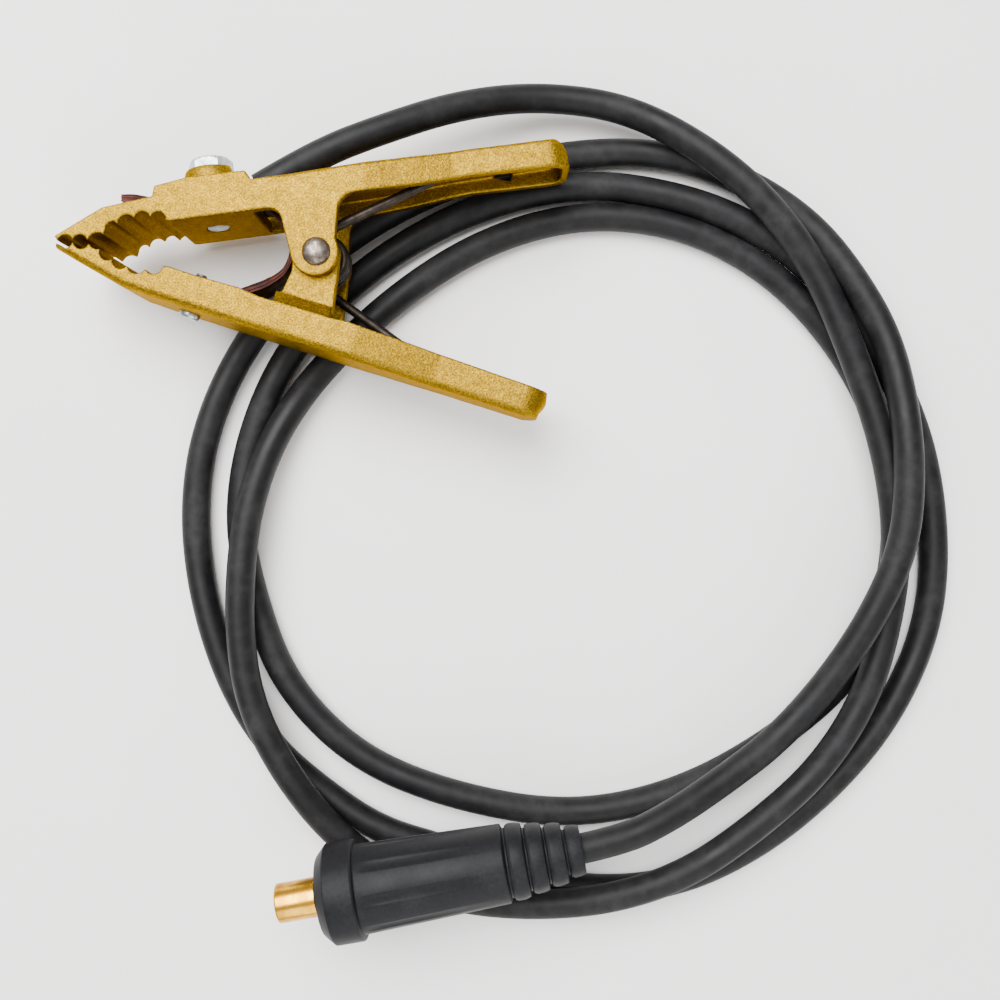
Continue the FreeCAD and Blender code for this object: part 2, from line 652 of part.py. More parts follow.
def offset_line(points, distance):
    """The line moved sideways, with its corners mitred."""
    moved = []
    corners = [Vector(x, y, 0) for x, y in points]
    for index, corner in enumerate(corners):
        before = corners[max(index - 1, 0)]
        after = corners[min(index + 1, len(corners) - 1)]
        back = corner - before if index else after - corner
        ahead = after - corner if index < len(corners) - 1 else back
        normals = [Vector(-v.y, v.x, 0).normalize() for v in (back, ahead)]
        mitre = normals[0] + normals[1]
        mitre = mitre * (2 / mitre.dot(mitre))
        moved.append(((corner + mitre * distance).x, (corner + mitre * distance).y))
    return moved


def build_bonding_strap():
    body = new_body("bonding_strap")
    half = size("strap_thickness") / 2
    profile = offset_line(STRAP_LINE, half) + offset_line(STRAP_LINE, -half)[::-1]
    slab(body, "strap_band", profile, "strap_width")
    bore(body, "strap_bolt_hole", standing(BOLT_SPOT, PLATE_UP, 2.0), "bolt_hole_radius", 6.0)
    bore(body, "strap_end_hole", standing(SCREW_SPOT, SCREW_UP, 1.0), "strap_hole_radius", 9.0)


WEB_THICKNESS = 3.0


def build_strap_fasteners():
    """Screw from below through the web and the strap, then washer and nut."""
    body = new_body("strap_screw", standing(SCREW_FOOT, SCREW_UP, 0.0))
    shank = new_sketch(body, "screw_shank")
    draw_circle(shank, 0, 0, size("strap_screw_radius"))
    bind_radius(shank, "strap_screw_radius")
    pad = body.newObject("PartDesign::Pad", "screw_shank_pad")
    pad.Profile = shank
    pad.setExpression("Length", "Sizes.strap_screw_length")
    head = new_sketch(body, "screw_head", lift=-size("screw_head_height"))
    draw_circle(head, 0, 0, size("screw_head_radius"))
    bind_radius(head, "screw_head_radius")
    pad = body.newObject("PartDesign::Pad", "screw_head_pad")
    pad.Profile = head
    pad.setExpression("Length", "Sizes.screw_head_height")
    doc.recompute()
    level = WEB_THICKNESS + size("strap_thickness") + 0.1
    washer_place = standing(SCREW_FOOT, SCREW_UP, level)
    ring("strap_washer", washer_place, "small_washer_radius", "strap_screw_radius",
         "Sizes.small_washer_thickness")
    level += size("small_washer_thickness")
    nut = new_body("strap_nut", standing(SCREW_FOOT, SCREW_UP, level))
    sketch = new_sketch(nut, "nut_hexagon")
    draw_hexagon(sketch, size("strap_nut_flats"))
    draw_circle(sketch, 0, 0, size("strap_screw_radius"))
    pad = nut.newObject("PartDesign::Pad", "nut_pad")
    pad.Profile = sketch
    pad.setExpression("Length", "Sizes.strap_nut_height")
    doc.recompute()


# ---- cable plug --------------------------------------------------------------------------------

PLUG_PLACE = Placement(PIVOT + Vector(size("plug_x"), size("plug_y"), size("plug_z")),
                       Rotation(Vector(0, 0, 1), size("plug_angle")))
SLEEVE_FRONT = size("pin_exposed")
SLEEVE_END = SLEEVE_FRONT + size("sleeve_length")
CABLE_END = SLEEVE_END - size("cable_depth")
PIN_STEP = 22.0
PIN_NECK = 6.0
BORE_START = 28.0
SCREW_DISTANCES = (42.0, 54.0)
RETAINING_REACH = size("retaining_pin_length") / 2
ACROSS_PLUG = Placement(Vector(25.0, RETAINING_REACH, 0), Rotation(Vector(1, 0, 0), 90))


def along_plug(distance, x_turn=0.0):
    """Local Z along the plug's axis, `distance` mm behind the pin's tip."""
    lie = Rotation(Vector(0, 1, 0), 90)
    spin_place = Placement(Vector(distance, 0, 0), Rotation(Vector(1, 0, 0), x_turn).multiply(lie))
    return PLUG_PLACE.multiply(spin_place)


def turned_profile(body, name, points):
    sketch = new_sketch(body, name, "XY_Plane")
    draw_outline(sketch, points)
    return spin(body, sketch, name + "_turned", "H_Axis")


def build_contact_pin():
    body = new_body("contact_pin", PLUG_PLACE)
    front = size("pin_radius")
    rear = size("pin_body_radius")
    socket = size("ferrule_radius")
    end = size("pin_length")
    tip = size("pin_tip")
    points = [(tip, 0), (tip, front - 1.2), (tip + 1.2, front), (SLEEVE_FRONT, front)]
    points += [(SLEEVE_FRONT, PIN_NECK), (PIN_STEP, PIN_NECK), (PIN_STEP, rear)]
    points += [(end, rear), (end, socket), (BORE_START, socket), (BORE_START, 0)]
    turned_profile(body, "pin_profile", points)
    for name, distance in zip(("front_tap", "rear_tap"), SCREW_DISTANCES):
        place = Placement(Vector(distance, 0, 0), Rotation())
        bore(body, name, place, "set_screw_radius", 20.0)
    bore(body, "retaining_hole", ACROSS_PLUG, "retaining_pin_radius", RETAINING_REACH * 2)


RIB_STEPS = [(12.5, 5.6), (11.4, 5.6), (10.3, 5.6), (8.5, 5.2)]
RIB_GROOVE = 0.95
RIB_DEPTH = 1.2
RIB_BAND = 25.8


def build_plug_sleeve():
    """One moulded sleeve: chamfered flange, long grip, and four ribs down to the cable."""
    body = new_body("plug_sleeve", PLUG_PLACE)
    flange = size("sleeve_flange_radius")
    grip = size("sleeve_radius")
    front = SLEEVE_FRONT
    rear_grip = size("sleeve_rear_radius")
    outer = [(front, flange - 3.6), (front + 3.4, flange), (front + 13.0, flange)]
    outer += [(front + 14.0, grip), (SLEEVE_END - RIB_BAND - 0.6, rear_grip)]
    here = SLEEVE_END - RIB_BAND
    for radius, width in RIB_STEPS:
        outer += [(here, radius - RIB_DEPTH), (here + RIB_GROOVE, radius - RIB_DEPTH)]
        outer += [(here + RIB_GROOVE, radius), (here + RIB_GROOVE + width, radius - 0.6)]
        here += RIB_GROOVE + width
    rear = size("pin_body_radius")
    cable = size("cable_radius")
    inner = [(here, cable), (CABLE_END, cable), (size("pin_length") + 2, rear)]
    inner += [(PIN_STEP, rear), (PIN_STEP, PIN_NECK), (front, PIN_NECK)]
    turned_profile(body, "sleeve_profile", outer + inner)
    bore(body, "sleeve_pin_hole", ACROSS_PLUG, "retaining_pin_radius", RETAINING_REACH * 2)


def build_plug_core():
    ferrule_place = along_plug(BORE_START + 4.0)
    ring("plug_ferrule", ferrule_place, "ferrule_radius", "conductor_radius",
         "Sizes.ferrule_length")
    reach = CABLE_END - BORE_START - 4.0
    core = primitive("Cylinder", "plug_conductor", ferrule_place,
                     Radius="Sizes.conductor_radius", Height="%.2f" % reach)
    PARTS.append(core)
    screws = []
    for name, distance in zip(("front_set_screw", "rear_set_screw"), SCREW_DISTANCES):
        radial = PLUG_PLACE.multiply(Placement(Vector(distance, 0, size("ferrule_radius") + 0.05),
                                               Rotation()))
        screws.append(primitive("Cylinder", name, radial, Radius="Sizes.set_screw_radius",
                                Height="Sizes.set_screw_length"))
    combine("Fuse", "plug_set_screws", screws[0], screws[1])
    pin = primitive("Cylinder", "plug_retaining_pin", PLUG_PLACE.multiply(ACROSS_PLUG),
                    Radius="Sizes.retaining_pin_radius", Height="Sizes.retaining_pin_length")
    PARTS.append(pin)


# ---- build, check and write ---------------------------------------------------------------------

build_upper_jaw()
build_lower_jaw()
build_pivot_rivet()
build_spring_bush()
build_torsion_spring()
build_cable()
build_cable_bolt()
build_spring_washer()
build_clamp_saddle()
build_cable_lug()
build_clamp_conductor()
build_bonding_strap()
build_strap_fasteners()
build_contact_pin()
build_plug_sleeve()
build_plug_core()
doc.recompute()

for item in doc.Objects:
    if "Invalid" in item.State or "Error" in item.State:
        raise RuntimeError("%s failed: %s" % (item.Label, item.State))
os.makedirs("parts", exist_ok=True)
for item in PARTS:
    shape = item.Shape
    if shape.isNull() or not shape.isValid() or not shape.Solids:
        raise RuntimeError("%s has no valid solid" % item.Label)
    box = shape.BoundBox
    print("%-20s solids %d volume %9.1f  x %7.1f..%6.1f  y %7.1f..%6.1f  z %6.1f..%6.1f" % (
        item.Label, len(shape.Solids), shape.Volume, box.XMin, box.XMax, box.YMin, box.YMax,
        box.ZMin, box.ZMax))
    shape.exportStep("parts/%s.step" % item.Label)
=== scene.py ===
import json
import math

import bmesh
import bpy
from mathutils import Matrix, Vector, noise

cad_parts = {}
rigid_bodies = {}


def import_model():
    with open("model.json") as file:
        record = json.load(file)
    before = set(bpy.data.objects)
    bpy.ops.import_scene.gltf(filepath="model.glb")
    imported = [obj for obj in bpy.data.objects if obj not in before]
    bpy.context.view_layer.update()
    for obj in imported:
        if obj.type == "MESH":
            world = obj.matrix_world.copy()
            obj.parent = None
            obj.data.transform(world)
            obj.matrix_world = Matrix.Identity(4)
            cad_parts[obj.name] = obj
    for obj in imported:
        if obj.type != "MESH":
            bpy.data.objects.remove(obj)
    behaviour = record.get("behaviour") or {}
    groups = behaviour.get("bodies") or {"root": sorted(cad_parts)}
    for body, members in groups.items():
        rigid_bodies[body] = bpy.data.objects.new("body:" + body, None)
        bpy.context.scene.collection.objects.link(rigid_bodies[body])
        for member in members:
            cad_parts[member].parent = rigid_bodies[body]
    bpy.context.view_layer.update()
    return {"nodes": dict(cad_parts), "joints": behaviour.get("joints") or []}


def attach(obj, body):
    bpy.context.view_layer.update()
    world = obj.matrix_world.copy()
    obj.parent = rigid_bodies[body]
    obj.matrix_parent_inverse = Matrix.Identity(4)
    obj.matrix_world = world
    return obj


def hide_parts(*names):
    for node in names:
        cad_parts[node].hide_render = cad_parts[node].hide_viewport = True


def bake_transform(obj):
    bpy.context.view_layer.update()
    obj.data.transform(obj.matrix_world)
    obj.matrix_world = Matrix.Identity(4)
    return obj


# The looks of a spring-type earth clamp that lies on its loosely coiled cable.
# Lengths are in millimetres from the pivot unless a name ends in _M; at() turns them into
# metres in the model's frame.

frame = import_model()
MM = 0.001
PIVOT = Vector(frame["joints"][0]["pos_m"])
UPPER = frame["joints"][0]["parent"]
LOWER = frame["joints"][0]["child"]
TABLE_Z = -27.7


def at(x, y, z=0.0):
    return PIVOT + Vector((x, y, z)) * MM


# ---- camera and stage ------------------------------------------------------------------

CAMERA_ABOVE = 400.0
CAMERA_SPOT = (66.0, -74.6)
CAMERA_ROLL = 5.0
CAMERA_LENS = 39.74
FLOOR_HALF_M = 4.0


def make_camera():
    data = bpy.data.cameras.new("camera")
    data.lens = CAMERA_LENS
    data.sensor_width = 36.0
    data.clip_start = 0.01
    camera = bpy.data.objects.new("camera", data)
    camera.location = at(*CAMERA_SPOT, TABLE_Z + CAMERA_ABOVE)
    camera.rotation_euler = (0.0, 0.0, math.radians(CAMERA_ROLL))
    bpy.context.scene.collection.objects.link(camera)
    bpy.context.scene.camera = camera


make_camera()

# ---- cable route -----------------------------------------------------------------------
# From the clamp, past the upper handle, then three and a half loose turns to the plug.

CABLE_ROUTE = [
    (-24, 23, 0.0), (-6, 36, 0.0), (15, 47, -1.7), (40, 60, -8.7), (67, 68, -15.7),
    (98, 67, -16.2), (126, 53, -10.2), (149, 36, -8.5), (169, 14, -10.2), (185, -15, -12.0),
    (198, -44, -12.2), (205, -73, -12.2), (205, -100, -12.2), (200, -131, -13.2),
    (186, -158, -12.7), (165, -180, -12.1), (142, -199, -12.0), (116, -210, -11.9),
    (88, -215, -13.5), (62, -216, -17.0), (39, -210, -18.2), (18, -196, -14.7),
    (0, -176, -11.7), (-14, -154, -11.7), (-20, -131, -11.7), (-22, -106, -11.7),
    (-21, -82, -13.0), (-15, -57, -18.2), (-1, -32, -22.5), (26, -2, -22.7), (57, 20, -22.7),
    (92, 31, -22.7), (129, 28, -22.7), (163, 11, -22.7), (191, -19, -22.7), (207, -54, -22.7),
    (209, -95, -22.7), (196, -127, -22.7), (170, -153, -22.7), (138, -174, -22.7),
    (101, -185, -22.7), (60, -182, -22.7), (23, -171, -22.7), (-5, -147, -22.7),
    (-19, -117, -22.7), (-27, -90, -22.7), (-25, -58, -22.7), (-13, -25, -22.7), (12, 5, -22.7),
    (47, 29, -22.7), (85, 41, -22.0), (117, 39, -20.0), (142, 32, -18.3), (166, 20, -20.2),
    (192, -3, -22.7), (212, -34, -22.7), (222, -70, -22.7), (223, -105, -22.7),
    (212, -138, -22.7), (193, -166, -22.7), (168, -190, -22.7), (140, -206, -22.7),
    (111, -211, -22.7), (84, -208, -22.7), (59, -201, -22.7), (33, -196, -22.7),
    (10, -183, -22.7), (-9, -169, -22.7), (-25, -147, -22.7), (-37, -118, -22.7),
    (-43, -87, -22.7), (-41, -57, -22.7), (-30, -27, -22.7), (-11, 1, -22.7), (16, 24, -22.7),
    (47, 41, -22.7), (84, 52, -22.7), (116, 54, -22.3), (144, 46, -20.5), (166, 32, -16.2),
    (181, 14, -11.2), (194, -7, -7.7), (201, -31, -4.7), (204, -54, -1.9), (204, -78, -1.9),
    (197, -101, -3.7), (186, -125, -8.2), (169, -149, -10.2), (150, -164.5, -6.7),
    (133, -176.0, -1.0), (115, -185.6, 2.8), (88, -192.89, 2.8),
]
CABLE_RADIUS = 5.0


def make_cable():
    data = bpy.data.curves.new("welding_cable_sheath", "CURVE")
    data.dimensions = "3D"
    spline = data.splines.new("NURBS")
    spline.points.add(len(CABLE_ROUTE) - 1)
    for point, place in zip(spline.points, CABLE_ROUTE):
        point.co = (*at(*place), 1.0)
    spline.order_u = 3
    spline.use_endpoint_u = True
    spline.resolution_u = 10
    data.bevel_depth = CABLE_RADIUS * MM
    data.bevel_resolution = 8
    data.use_fill_caps = True
    cable = bpy.data.objects.new("welding_cable_sheath", data)
    bpy.context.scene.collection.objects.link(cable)
    return cable


cable = make_cable()

# ---- materials -------------------------------------------------------------------------


class Paint:
    """A Principled material with a few procedural layers, all in object coordinates."""

    def __init__(self, name, **constants):
        self.material = bpy.data.materials.new(name)
        self.material.use_nodes = True
        self.nodes = self.material.node_tree.nodes
        self.links = self.material.node_tree.links
        self.shader = self.nodes["Principled BSDF"]
        for socket, value in constants.items():
            self.shader.inputs[socket.replace("_", " ")].default_value = value
        self.coordinates = self.nodes.new("ShaderNodeTexCoord")

    def place(self, stretch=(1.0, 1.0, 1.0)):
        mapping = self.nodes.new("ShaderNodeMapping")
        mapping.inputs["Scale"].default_value = stretch
        self.links.new(self.coordinates.outputs["Object"], mapping.inputs["Vector"])
        return mapping.outputs["Vector"]

    def noise(self, scale, detail=4.0, roughness=0.55, stretch=(1.0, 1.0, 1.0), distortion=0.0):
        node = self.nodes.new("ShaderNodeTexNoise")
        node.inputs["Scale"].default_value = scale
        node.inputs["Detail"].default_value = detail
        node.inputs["Roughness"].default_value = roughness
        node.inputs["Distortion"].default_value = distortion
        self.links.new(self.place(stretch), node.inputs["Vector"])
        return node.outputs["Fac"]

    def cells(self, scale):
        node = self.nodes.new("ShaderNodeTexVoronoi")
        node.inputs["Scale"].default_value = scale
        self.links.new(self.place(), node.inputs["Vector"])
        return node.outputs["Distance"]

    def ramp(self, factor, stops):
        node = self.nodes.new("ShaderNodeValToRGB")
        elements = node.color_ramp.elements
        while len(elements) < len(stops):
            elements.new(0.5)
        for element, (place, colour) in zip(elements, stops):
            element.position = place
            element.color = (*colour, 1.0)
        self.links.new(factor, node.inputs["Fac"])
        return node.outputs["Color"]

    def span(self, factor, low, high, start=0.3, stop=0.7):
        node = self.nodes.new("ShaderNodeMapRange")
        node.inputs["From Min"].default_value = start
        node.inputs["From Max"].default_value = stop
        node.inputs["To Min"].default_value = low
        node.inputs["To Max"].default_value = high
        self.links.new(factor, node.inputs["Value"])
        return node.outputs["Result"]

    def mix(self, factor, first, second):
        node = self.nodes.new("ShaderNodeMix")
        node.data_type = "RGBA"
        if isinstance(factor, float):
            node.inputs["Factor"].default_value = factor
        else:
            self.links.new(factor, node.inputs["Factor"])
        self.links.new(first, node.inputs["A"])
        self.links.new(second, node.inputs["B"])
        return node.outputs["Result"]

    def pointiness(self):
        return self.nodes.new("ShaderNodeNewGeometry").outputs["Pointiness"]

    def colour(self, output):
        self.links.new(output, self.shader.inputs["Base Color"])

    def roughness(self, output):
        self.links.new(output, self.shader.inputs["Roughness"])

    def bumps(self, layers):
        """Stacks (height, distance in mm, strength) layers into one normal."""
        normal = None
        for height, distance, strength in layers:
            node = self.nodes.new("ShaderNodeBump")
            node.inputs["Distance"].default_value = distance * MM
            node.inputs["Strength"].default_value = strength
            self.links.new(height, node.inputs["Height"])
            if normal is not None:
                self.links.new(normal, node.inputs["Normal"])
            normal = node.outputs["Normal"]
        self.links.new(normal, self.shader.inputs["Normal"])


def cast_brass_paint():
    paint = Paint("cast_brass", Metallic=1.0, Specular_Tint=(0.85, 0.60, 0.22, 1.0))
    grain = paint.noise(1700, 3.0, 0.8)
    patches = paint.noise(70, 5.0, 0.6)
    speckle = paint.ramp(grain, [(0.38, (0.065, 0.036, 0.006)), (0.49, (0.22, 0.127, 0.007)),
                                 (0.60, (0.42, 0.260, 0.012))])
    tone = paint.ramp(patches, [(0.30, (0.22, 0.126, 0.006)), (0.70, (0.31, 0.184, 0.009))])
    base = paint.mix(0.35, speckle, tone)
    edges = paint.span(paint.pointiness(), 0.0, 0.5, 0.52, 0.62)
    worn = paint.ramp(patches, [(0.0, (0.48, 0.305, 0.026)), (1.0, (0.40, 0.245, 0.018))])
    base = paint.mix(edges, base, worn)
    # Painted shade: concave hollows and recesses are darkened towards a dark brown that stands in
    # for the shade falling there.
    painted_shade_mask = paint.span(paint.pointiness(), 0.6, 0.0, 0.38, 0.475)
    painted_shade_colour = paint.ramp(patches, [(0.0, (0.11, 0.063, 0.017)), (1.0, (0.17, 0.100, 0.028))])
    paint.colour(paint.mix(painted_shade_mask, base, painted_shade_colour))
    paint.roughness(paint.span(paint.noise(400, 3.0), 0.36, 0.54))
    paint.bumps([(paint.noise(160, 3.0), 0.25, 0.35), (grain, 0.18, 0.85),
                 (paint.cells(1100), 0.10, 0.5)])
    return paint.material


def turned_brass_paint():
    paint = Paint("turned_brass", Metallic=1.0)
    rings = paint.noise(900, 2.0, 0.5, (0.15, 0.15, 1.0))
    stains = paint.noise(140, 4.0, 0.6)
    paint.colour(paint.ramp(stains, [(0.28, (0.30, 0.125, 0.008)), (0.55, (0.70, 0.36, 0.030)),
                                     (0.78, (0.90, 0.55, 0.080))]))
    paint.roughness(paint.span(stains, 0.34, 0.20))
    paint.bumps([(rings, 0.03, 0.5), (paint.noise(2500, 2.0), 0.02, 0.4)])
    return paint.material


def copper_paint():
    paint = Paint("copper", Metallic=0.55, Specular_IOR_Level=0.15)
    stains = paint.noise(160, 5.0, 0.65)
    paint.colour(paint.ramp(stains, [(0.30, (0.008, 0.002, 0.0015)), (0.52, (0.029, 0.006, 0.0035)),
                                     (0.75, (0.068, 0.016, 0.008))]))
    paint.roughness(paint.span(paint.noise(300, 3.0), 0.36, 0.55))
    paint.bumps([(paint.noise(500, 4.0), 0.08, 0.5)])
    return paint.material


def zinc_paint():
    paint = Paint("zinc_steel", Metallic=0.95)
    clouds = paint.noise(260, 5.0, 0.6)
    paint.colour(paint.ramp(clouds, [(0.30, (0.24, 0.26, 0.27)), (0.52, (0.42, 0.445, 0.45)),
                                     (0.75, (0.60, 0.62, 0.61))]))
    paint.roughness(paint.span(clouds, 0.44, 0.27))
    paint.bumps([(paint.noise(900, 3.0), 0.04, 0.5)])
    return paint.material


def rivet_paint():
    paint = Paint("rivet_steel", Metallic=0.95)
    stains = paint.noise(420, 5.0, 0.65)
    paint.colour(paint.ramp(stains, [(0.28, (0.055, 0.040, 0.030)), (0.50, (0.185, 0.150, 0.122)),
                                     (0.72, (0.42, 0.375, 0.335))]))
    paint.roughness(paint.span(stains, 0.48, 0.26))
    paint.bumps([(paint.noise(600, 3.0), 0.18, 0.6), (paint.noise(2200, 2.0), 0.03, 0.5)])
    return paint.material


def spring_paint():
    paint = Paint("spring_steel", Metallic=0.75)
    stains = paint.noise(300, 4.0, 0.6)
    paint.colour(paint.ramp(stains, [(0.30, (0.010, 0.007, 0.005)), (0.55, (0.027, 0.019, 0.014)),
                                     (0.78, (0.060, 0.043, 0.031))]))
    paint.roughness(paint.span(stains, 0.55, 0.38))
    paint.bumps([(paint.noise(1500, 3.0), 0.04, 0.5)])
    return paint.material


def cable_paint():
    """Matte sheath with dusty rub marks."""
    paint = Paint("cable_rubber", Specular_IOR_Level=0.19)
    dust = paint.noise(38, 6.0, 0.62, distortion=0.6)
    smear = paint.noise(240, 4.0, 0.6)
    base = paint.ramp(smear, [(0.35, (0.0040, 0.0040, 0.0046)), (0.70, (0.0078, 0.0078, 0.0086))])
    dusty = paint.ramp(smear, [(0.30, (0.014, 0.014, 0.0148)), (0.75, (0.036, 0.036, 0.0375))])
    paint.colour(paint.mix(paint.span(dust, 0.0, 0.7, 0.48, 0.76), base, dusty))
    paint.roughness(paint.span(dust, 0.42, 0.66))
    paint.bumps([(paint.noise(120, 3.0), 0.18, 0.35), (paint.noise(1600, 3.0), 0.035, 0.5)])
    return paint.material


def plug_paint():
    paint = Paint("plug_rubber", Specular_IOR_Level=0.16)
    dust = paint.noise(55, 6.0, 0.6)
    fine = paint.noise(900, 3.0, 0.6)
    base = paint.ramp(fine, [(0.35, (0.0038, 0.0040, 0.0050)), (0.70, (0.0068, 0.0072, 0.0086))])
    dusty = paint.ramp(fine, [(0.30, (0.0095, 0.0100, 0.0115)), (0.75, (0.020, 0.021, 0.0235))])
    paint.colour(paint.mix(paint.span(dust, 0.0, 0.7, 0.50, 0.76), base, dusty))
    paint.roughness(paint.span(dust, 0.44, 0.60))
    paint.bumps([(paint.noise(220, 3.0), 0.06, 0.35), (fine, 0.03, 0.6)])
    return paint.material


def floor_paint():
    paint = Paint("pale_floor", Roughness=0.85)
    cloth = paint.noise(9, 3.0)
    paint.colour(paint.ramp(cloth, [(0.35, (0.915, 0.893, 0.880)), (0.65, (0.945, 0.926, 0.915))]))
    return paint.material


PAINTS = {
    "cast_brass": cast_brass_paint(), "turned_brass": turned_brass_paint(),
    "copper": copper_paint(), "zinc_steel": zinc_paint(), "rivet_steel": rivet_paint(),
    "spring_steel": spring_paint(), "cable_rubber": cable_paint(), "plug_rubber": plug_paint(),
}

# ---- mesh helpers ----------------------------------------------------------------------


def new_piece(name, mesh, slot, body, *nodes):
    """Links a finished mesh, paints it, and rides it on its body in place of CAD nodes."""
    piece = bpy.data.objects.new(name, mesh)
    bpy.context.scene.collection.objects.link(piece)
    dress(piece, slot)
    if body:
        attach(piece, body)
    if nodes:
        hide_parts(*nodes)
    return piece


def dress(piece, slot):
    piece.data.materials.clear()
    piece.data.materials.append(PAINTS[slot])


def mesh_from(name, verts, faces, smooth=True):
    mesh = bpy.data.meshes.new(name)
    mesh.from_pydata([tuple(v) for v in verts], [], faces)
    tidy = bmesh.new()
    tidy.from_mesh(mesh)
    bmesh.ops.recalc_face_normals(tidy, faces=tidy.faces)
    tidy.to_mesh(mesh)
    tidy.free()
    if smooth:
        mesh.shade_smooth()
    else:
        mesh.shade_flat()
    return mesh


def sharpen(mesh, degrees=32.0):
    mesh.set_sharp_from_angle(angle=math.radians(degrees))


def frame_on(origin, axis, ahead=(1.0, 0.0, 0.0)):
    """A matrix with local Z along the axis and local X as near `ahead` as it can be."""
    up = Vector(axis).normalized()
    side = up.cross(Vector(ahead)).normalized()
    front = side.cross(up)
    matrix = Matrix((front, side, up)).transposed().to_4x4()
    matrix.translation = origin
    return matrix


def soften(profile, radius=0.35, steps=3):
    """Rounds the corners of an (r, z) profile with short curves; its two ends stay."""
    soft = [profile[0]]
    for before, corner, after in zip(profile, profile[1:], profile[2:]):
        a = Vector(before) - Vector(corner)
        b = Vector(after) - Vector(corner)
        reach = min(radius, a.length * 0.45, b.length * 0.45)
        turn = math.pi - a.angle(b, math.pi)
        if turn < 0.25 or reach < 0.02:
            soft.append(corner)
            continue
        start = Vector(corner) + a.normalized() * reach
        end = Vector(corner) + b.normalized() * reach
        for step in range(steps + 1):
            t = step / steps
            spot = start * (1 - t) ** 2 + Vector(corner) * 2 * t * (1 - t) + end * t ** 2
            soft.append(tuple(spot))
    soft.append(profile[-1])
    return soft


def lathe(name, profile, matrix, steps=72, shape=None):
    """Turns a (radius, height) profile in mm about local Z. `shape` may change a radius."""
    verts = []
    faces = []
    count = len(profile)
    for step in range(steps):
        angle = 2 * math.pi * step / steps
        for radius, height in profile:
            r = shape(radius, height, angle) if shape else radius
            verts.append(matrix @ (Vector((r * math.cos(angle), r * math.sin(angle), height)) * MM))
    for step in range(steps):
        here = step * count
        there = (step + 1) % steps * count
        for k in range(count - 1):
            faces.append((here + k, there + k, there + k + 1, here + k + 1))
    mesh = mesh_from(name, verts, faces)
    weld(mesh)
    return mesh


def weld(mesh, distance=0.00001):
    tidy = bmesh.new()
    tidy.from_mesh(mesh)
    bmesh.ops.remove_doubles(tidy, verts=tidy.verts, dist=distance)
    bmesh.ops.recalc_face_normals(tidy, faces=tidy.faces)
    tidy.to_mesh(mesh)
    tidy.free()


def tube_mesh(name, points, radius, sides=20):
    """A round bar along points in metres, with flat closed ends."""
    verts = []
    faces = []
    spots = [Vector(p) for p in points]
    normal = None
    for index, spot in enumerate(spots):
        before = spots[max(index - 1, 0)]
        after = spots[min(index + 1, len(spots) - 1)]
        along = (after - before).normalized()
        if normal is None:
            normal = along.orthogonal().normalized()
        normal = (normal - along * normal.dot(along)).normalized()
        side = along.cross(normal)
        for k in range(sides):
            angle = 2 * math.pi * k / sides
            offset = normal * math.cos(angle) + side * math.sin(angle)
            verts.append(spot + offset * radius)
    for ring in range(len(spots) - 1):
        for k in range(sides):
            m = (k + 1) % sides
            base = ring * sides
            faces.append((base + k, base + m, base + sides + m, base + sides + k))
    last = (len(spots) - 1) * sides
    faces.append(tuple(range(sides))[::-1])
    faces.append(tuple(range(last, last + sides)))
    mesh = mesh_from(name, verts, faces)
    sharpen(mesh, 50)
    return mesh


def join_meshes(name, meshes):
    """One mesh from several, without booleans."""
    whole = bmesh.new()
    for mesh in meshes:
        whole.from_mesh(mesh)
    joined = bpy.data.meshes.new(name)
    whole.to_mesh(joined)
    whole.free()
    joined.shade_smooth()
    return joined


# ---- castings --------------------------------------------------------------------------

VOXEL_M = 0.00042
CAST_WAVE = 0.06
CAST_WAVE_SIZE = 7.0
HALF_WIDTH = 17.0
HANDLE_HALF = 12.5
HANDLE_CORNER = 8.0
TAPER = (14.0, 42.0)
ROUND_RUN = 12.0
ROUND_LEAST = 0.05
WHOLE_EDGE = -1000.0


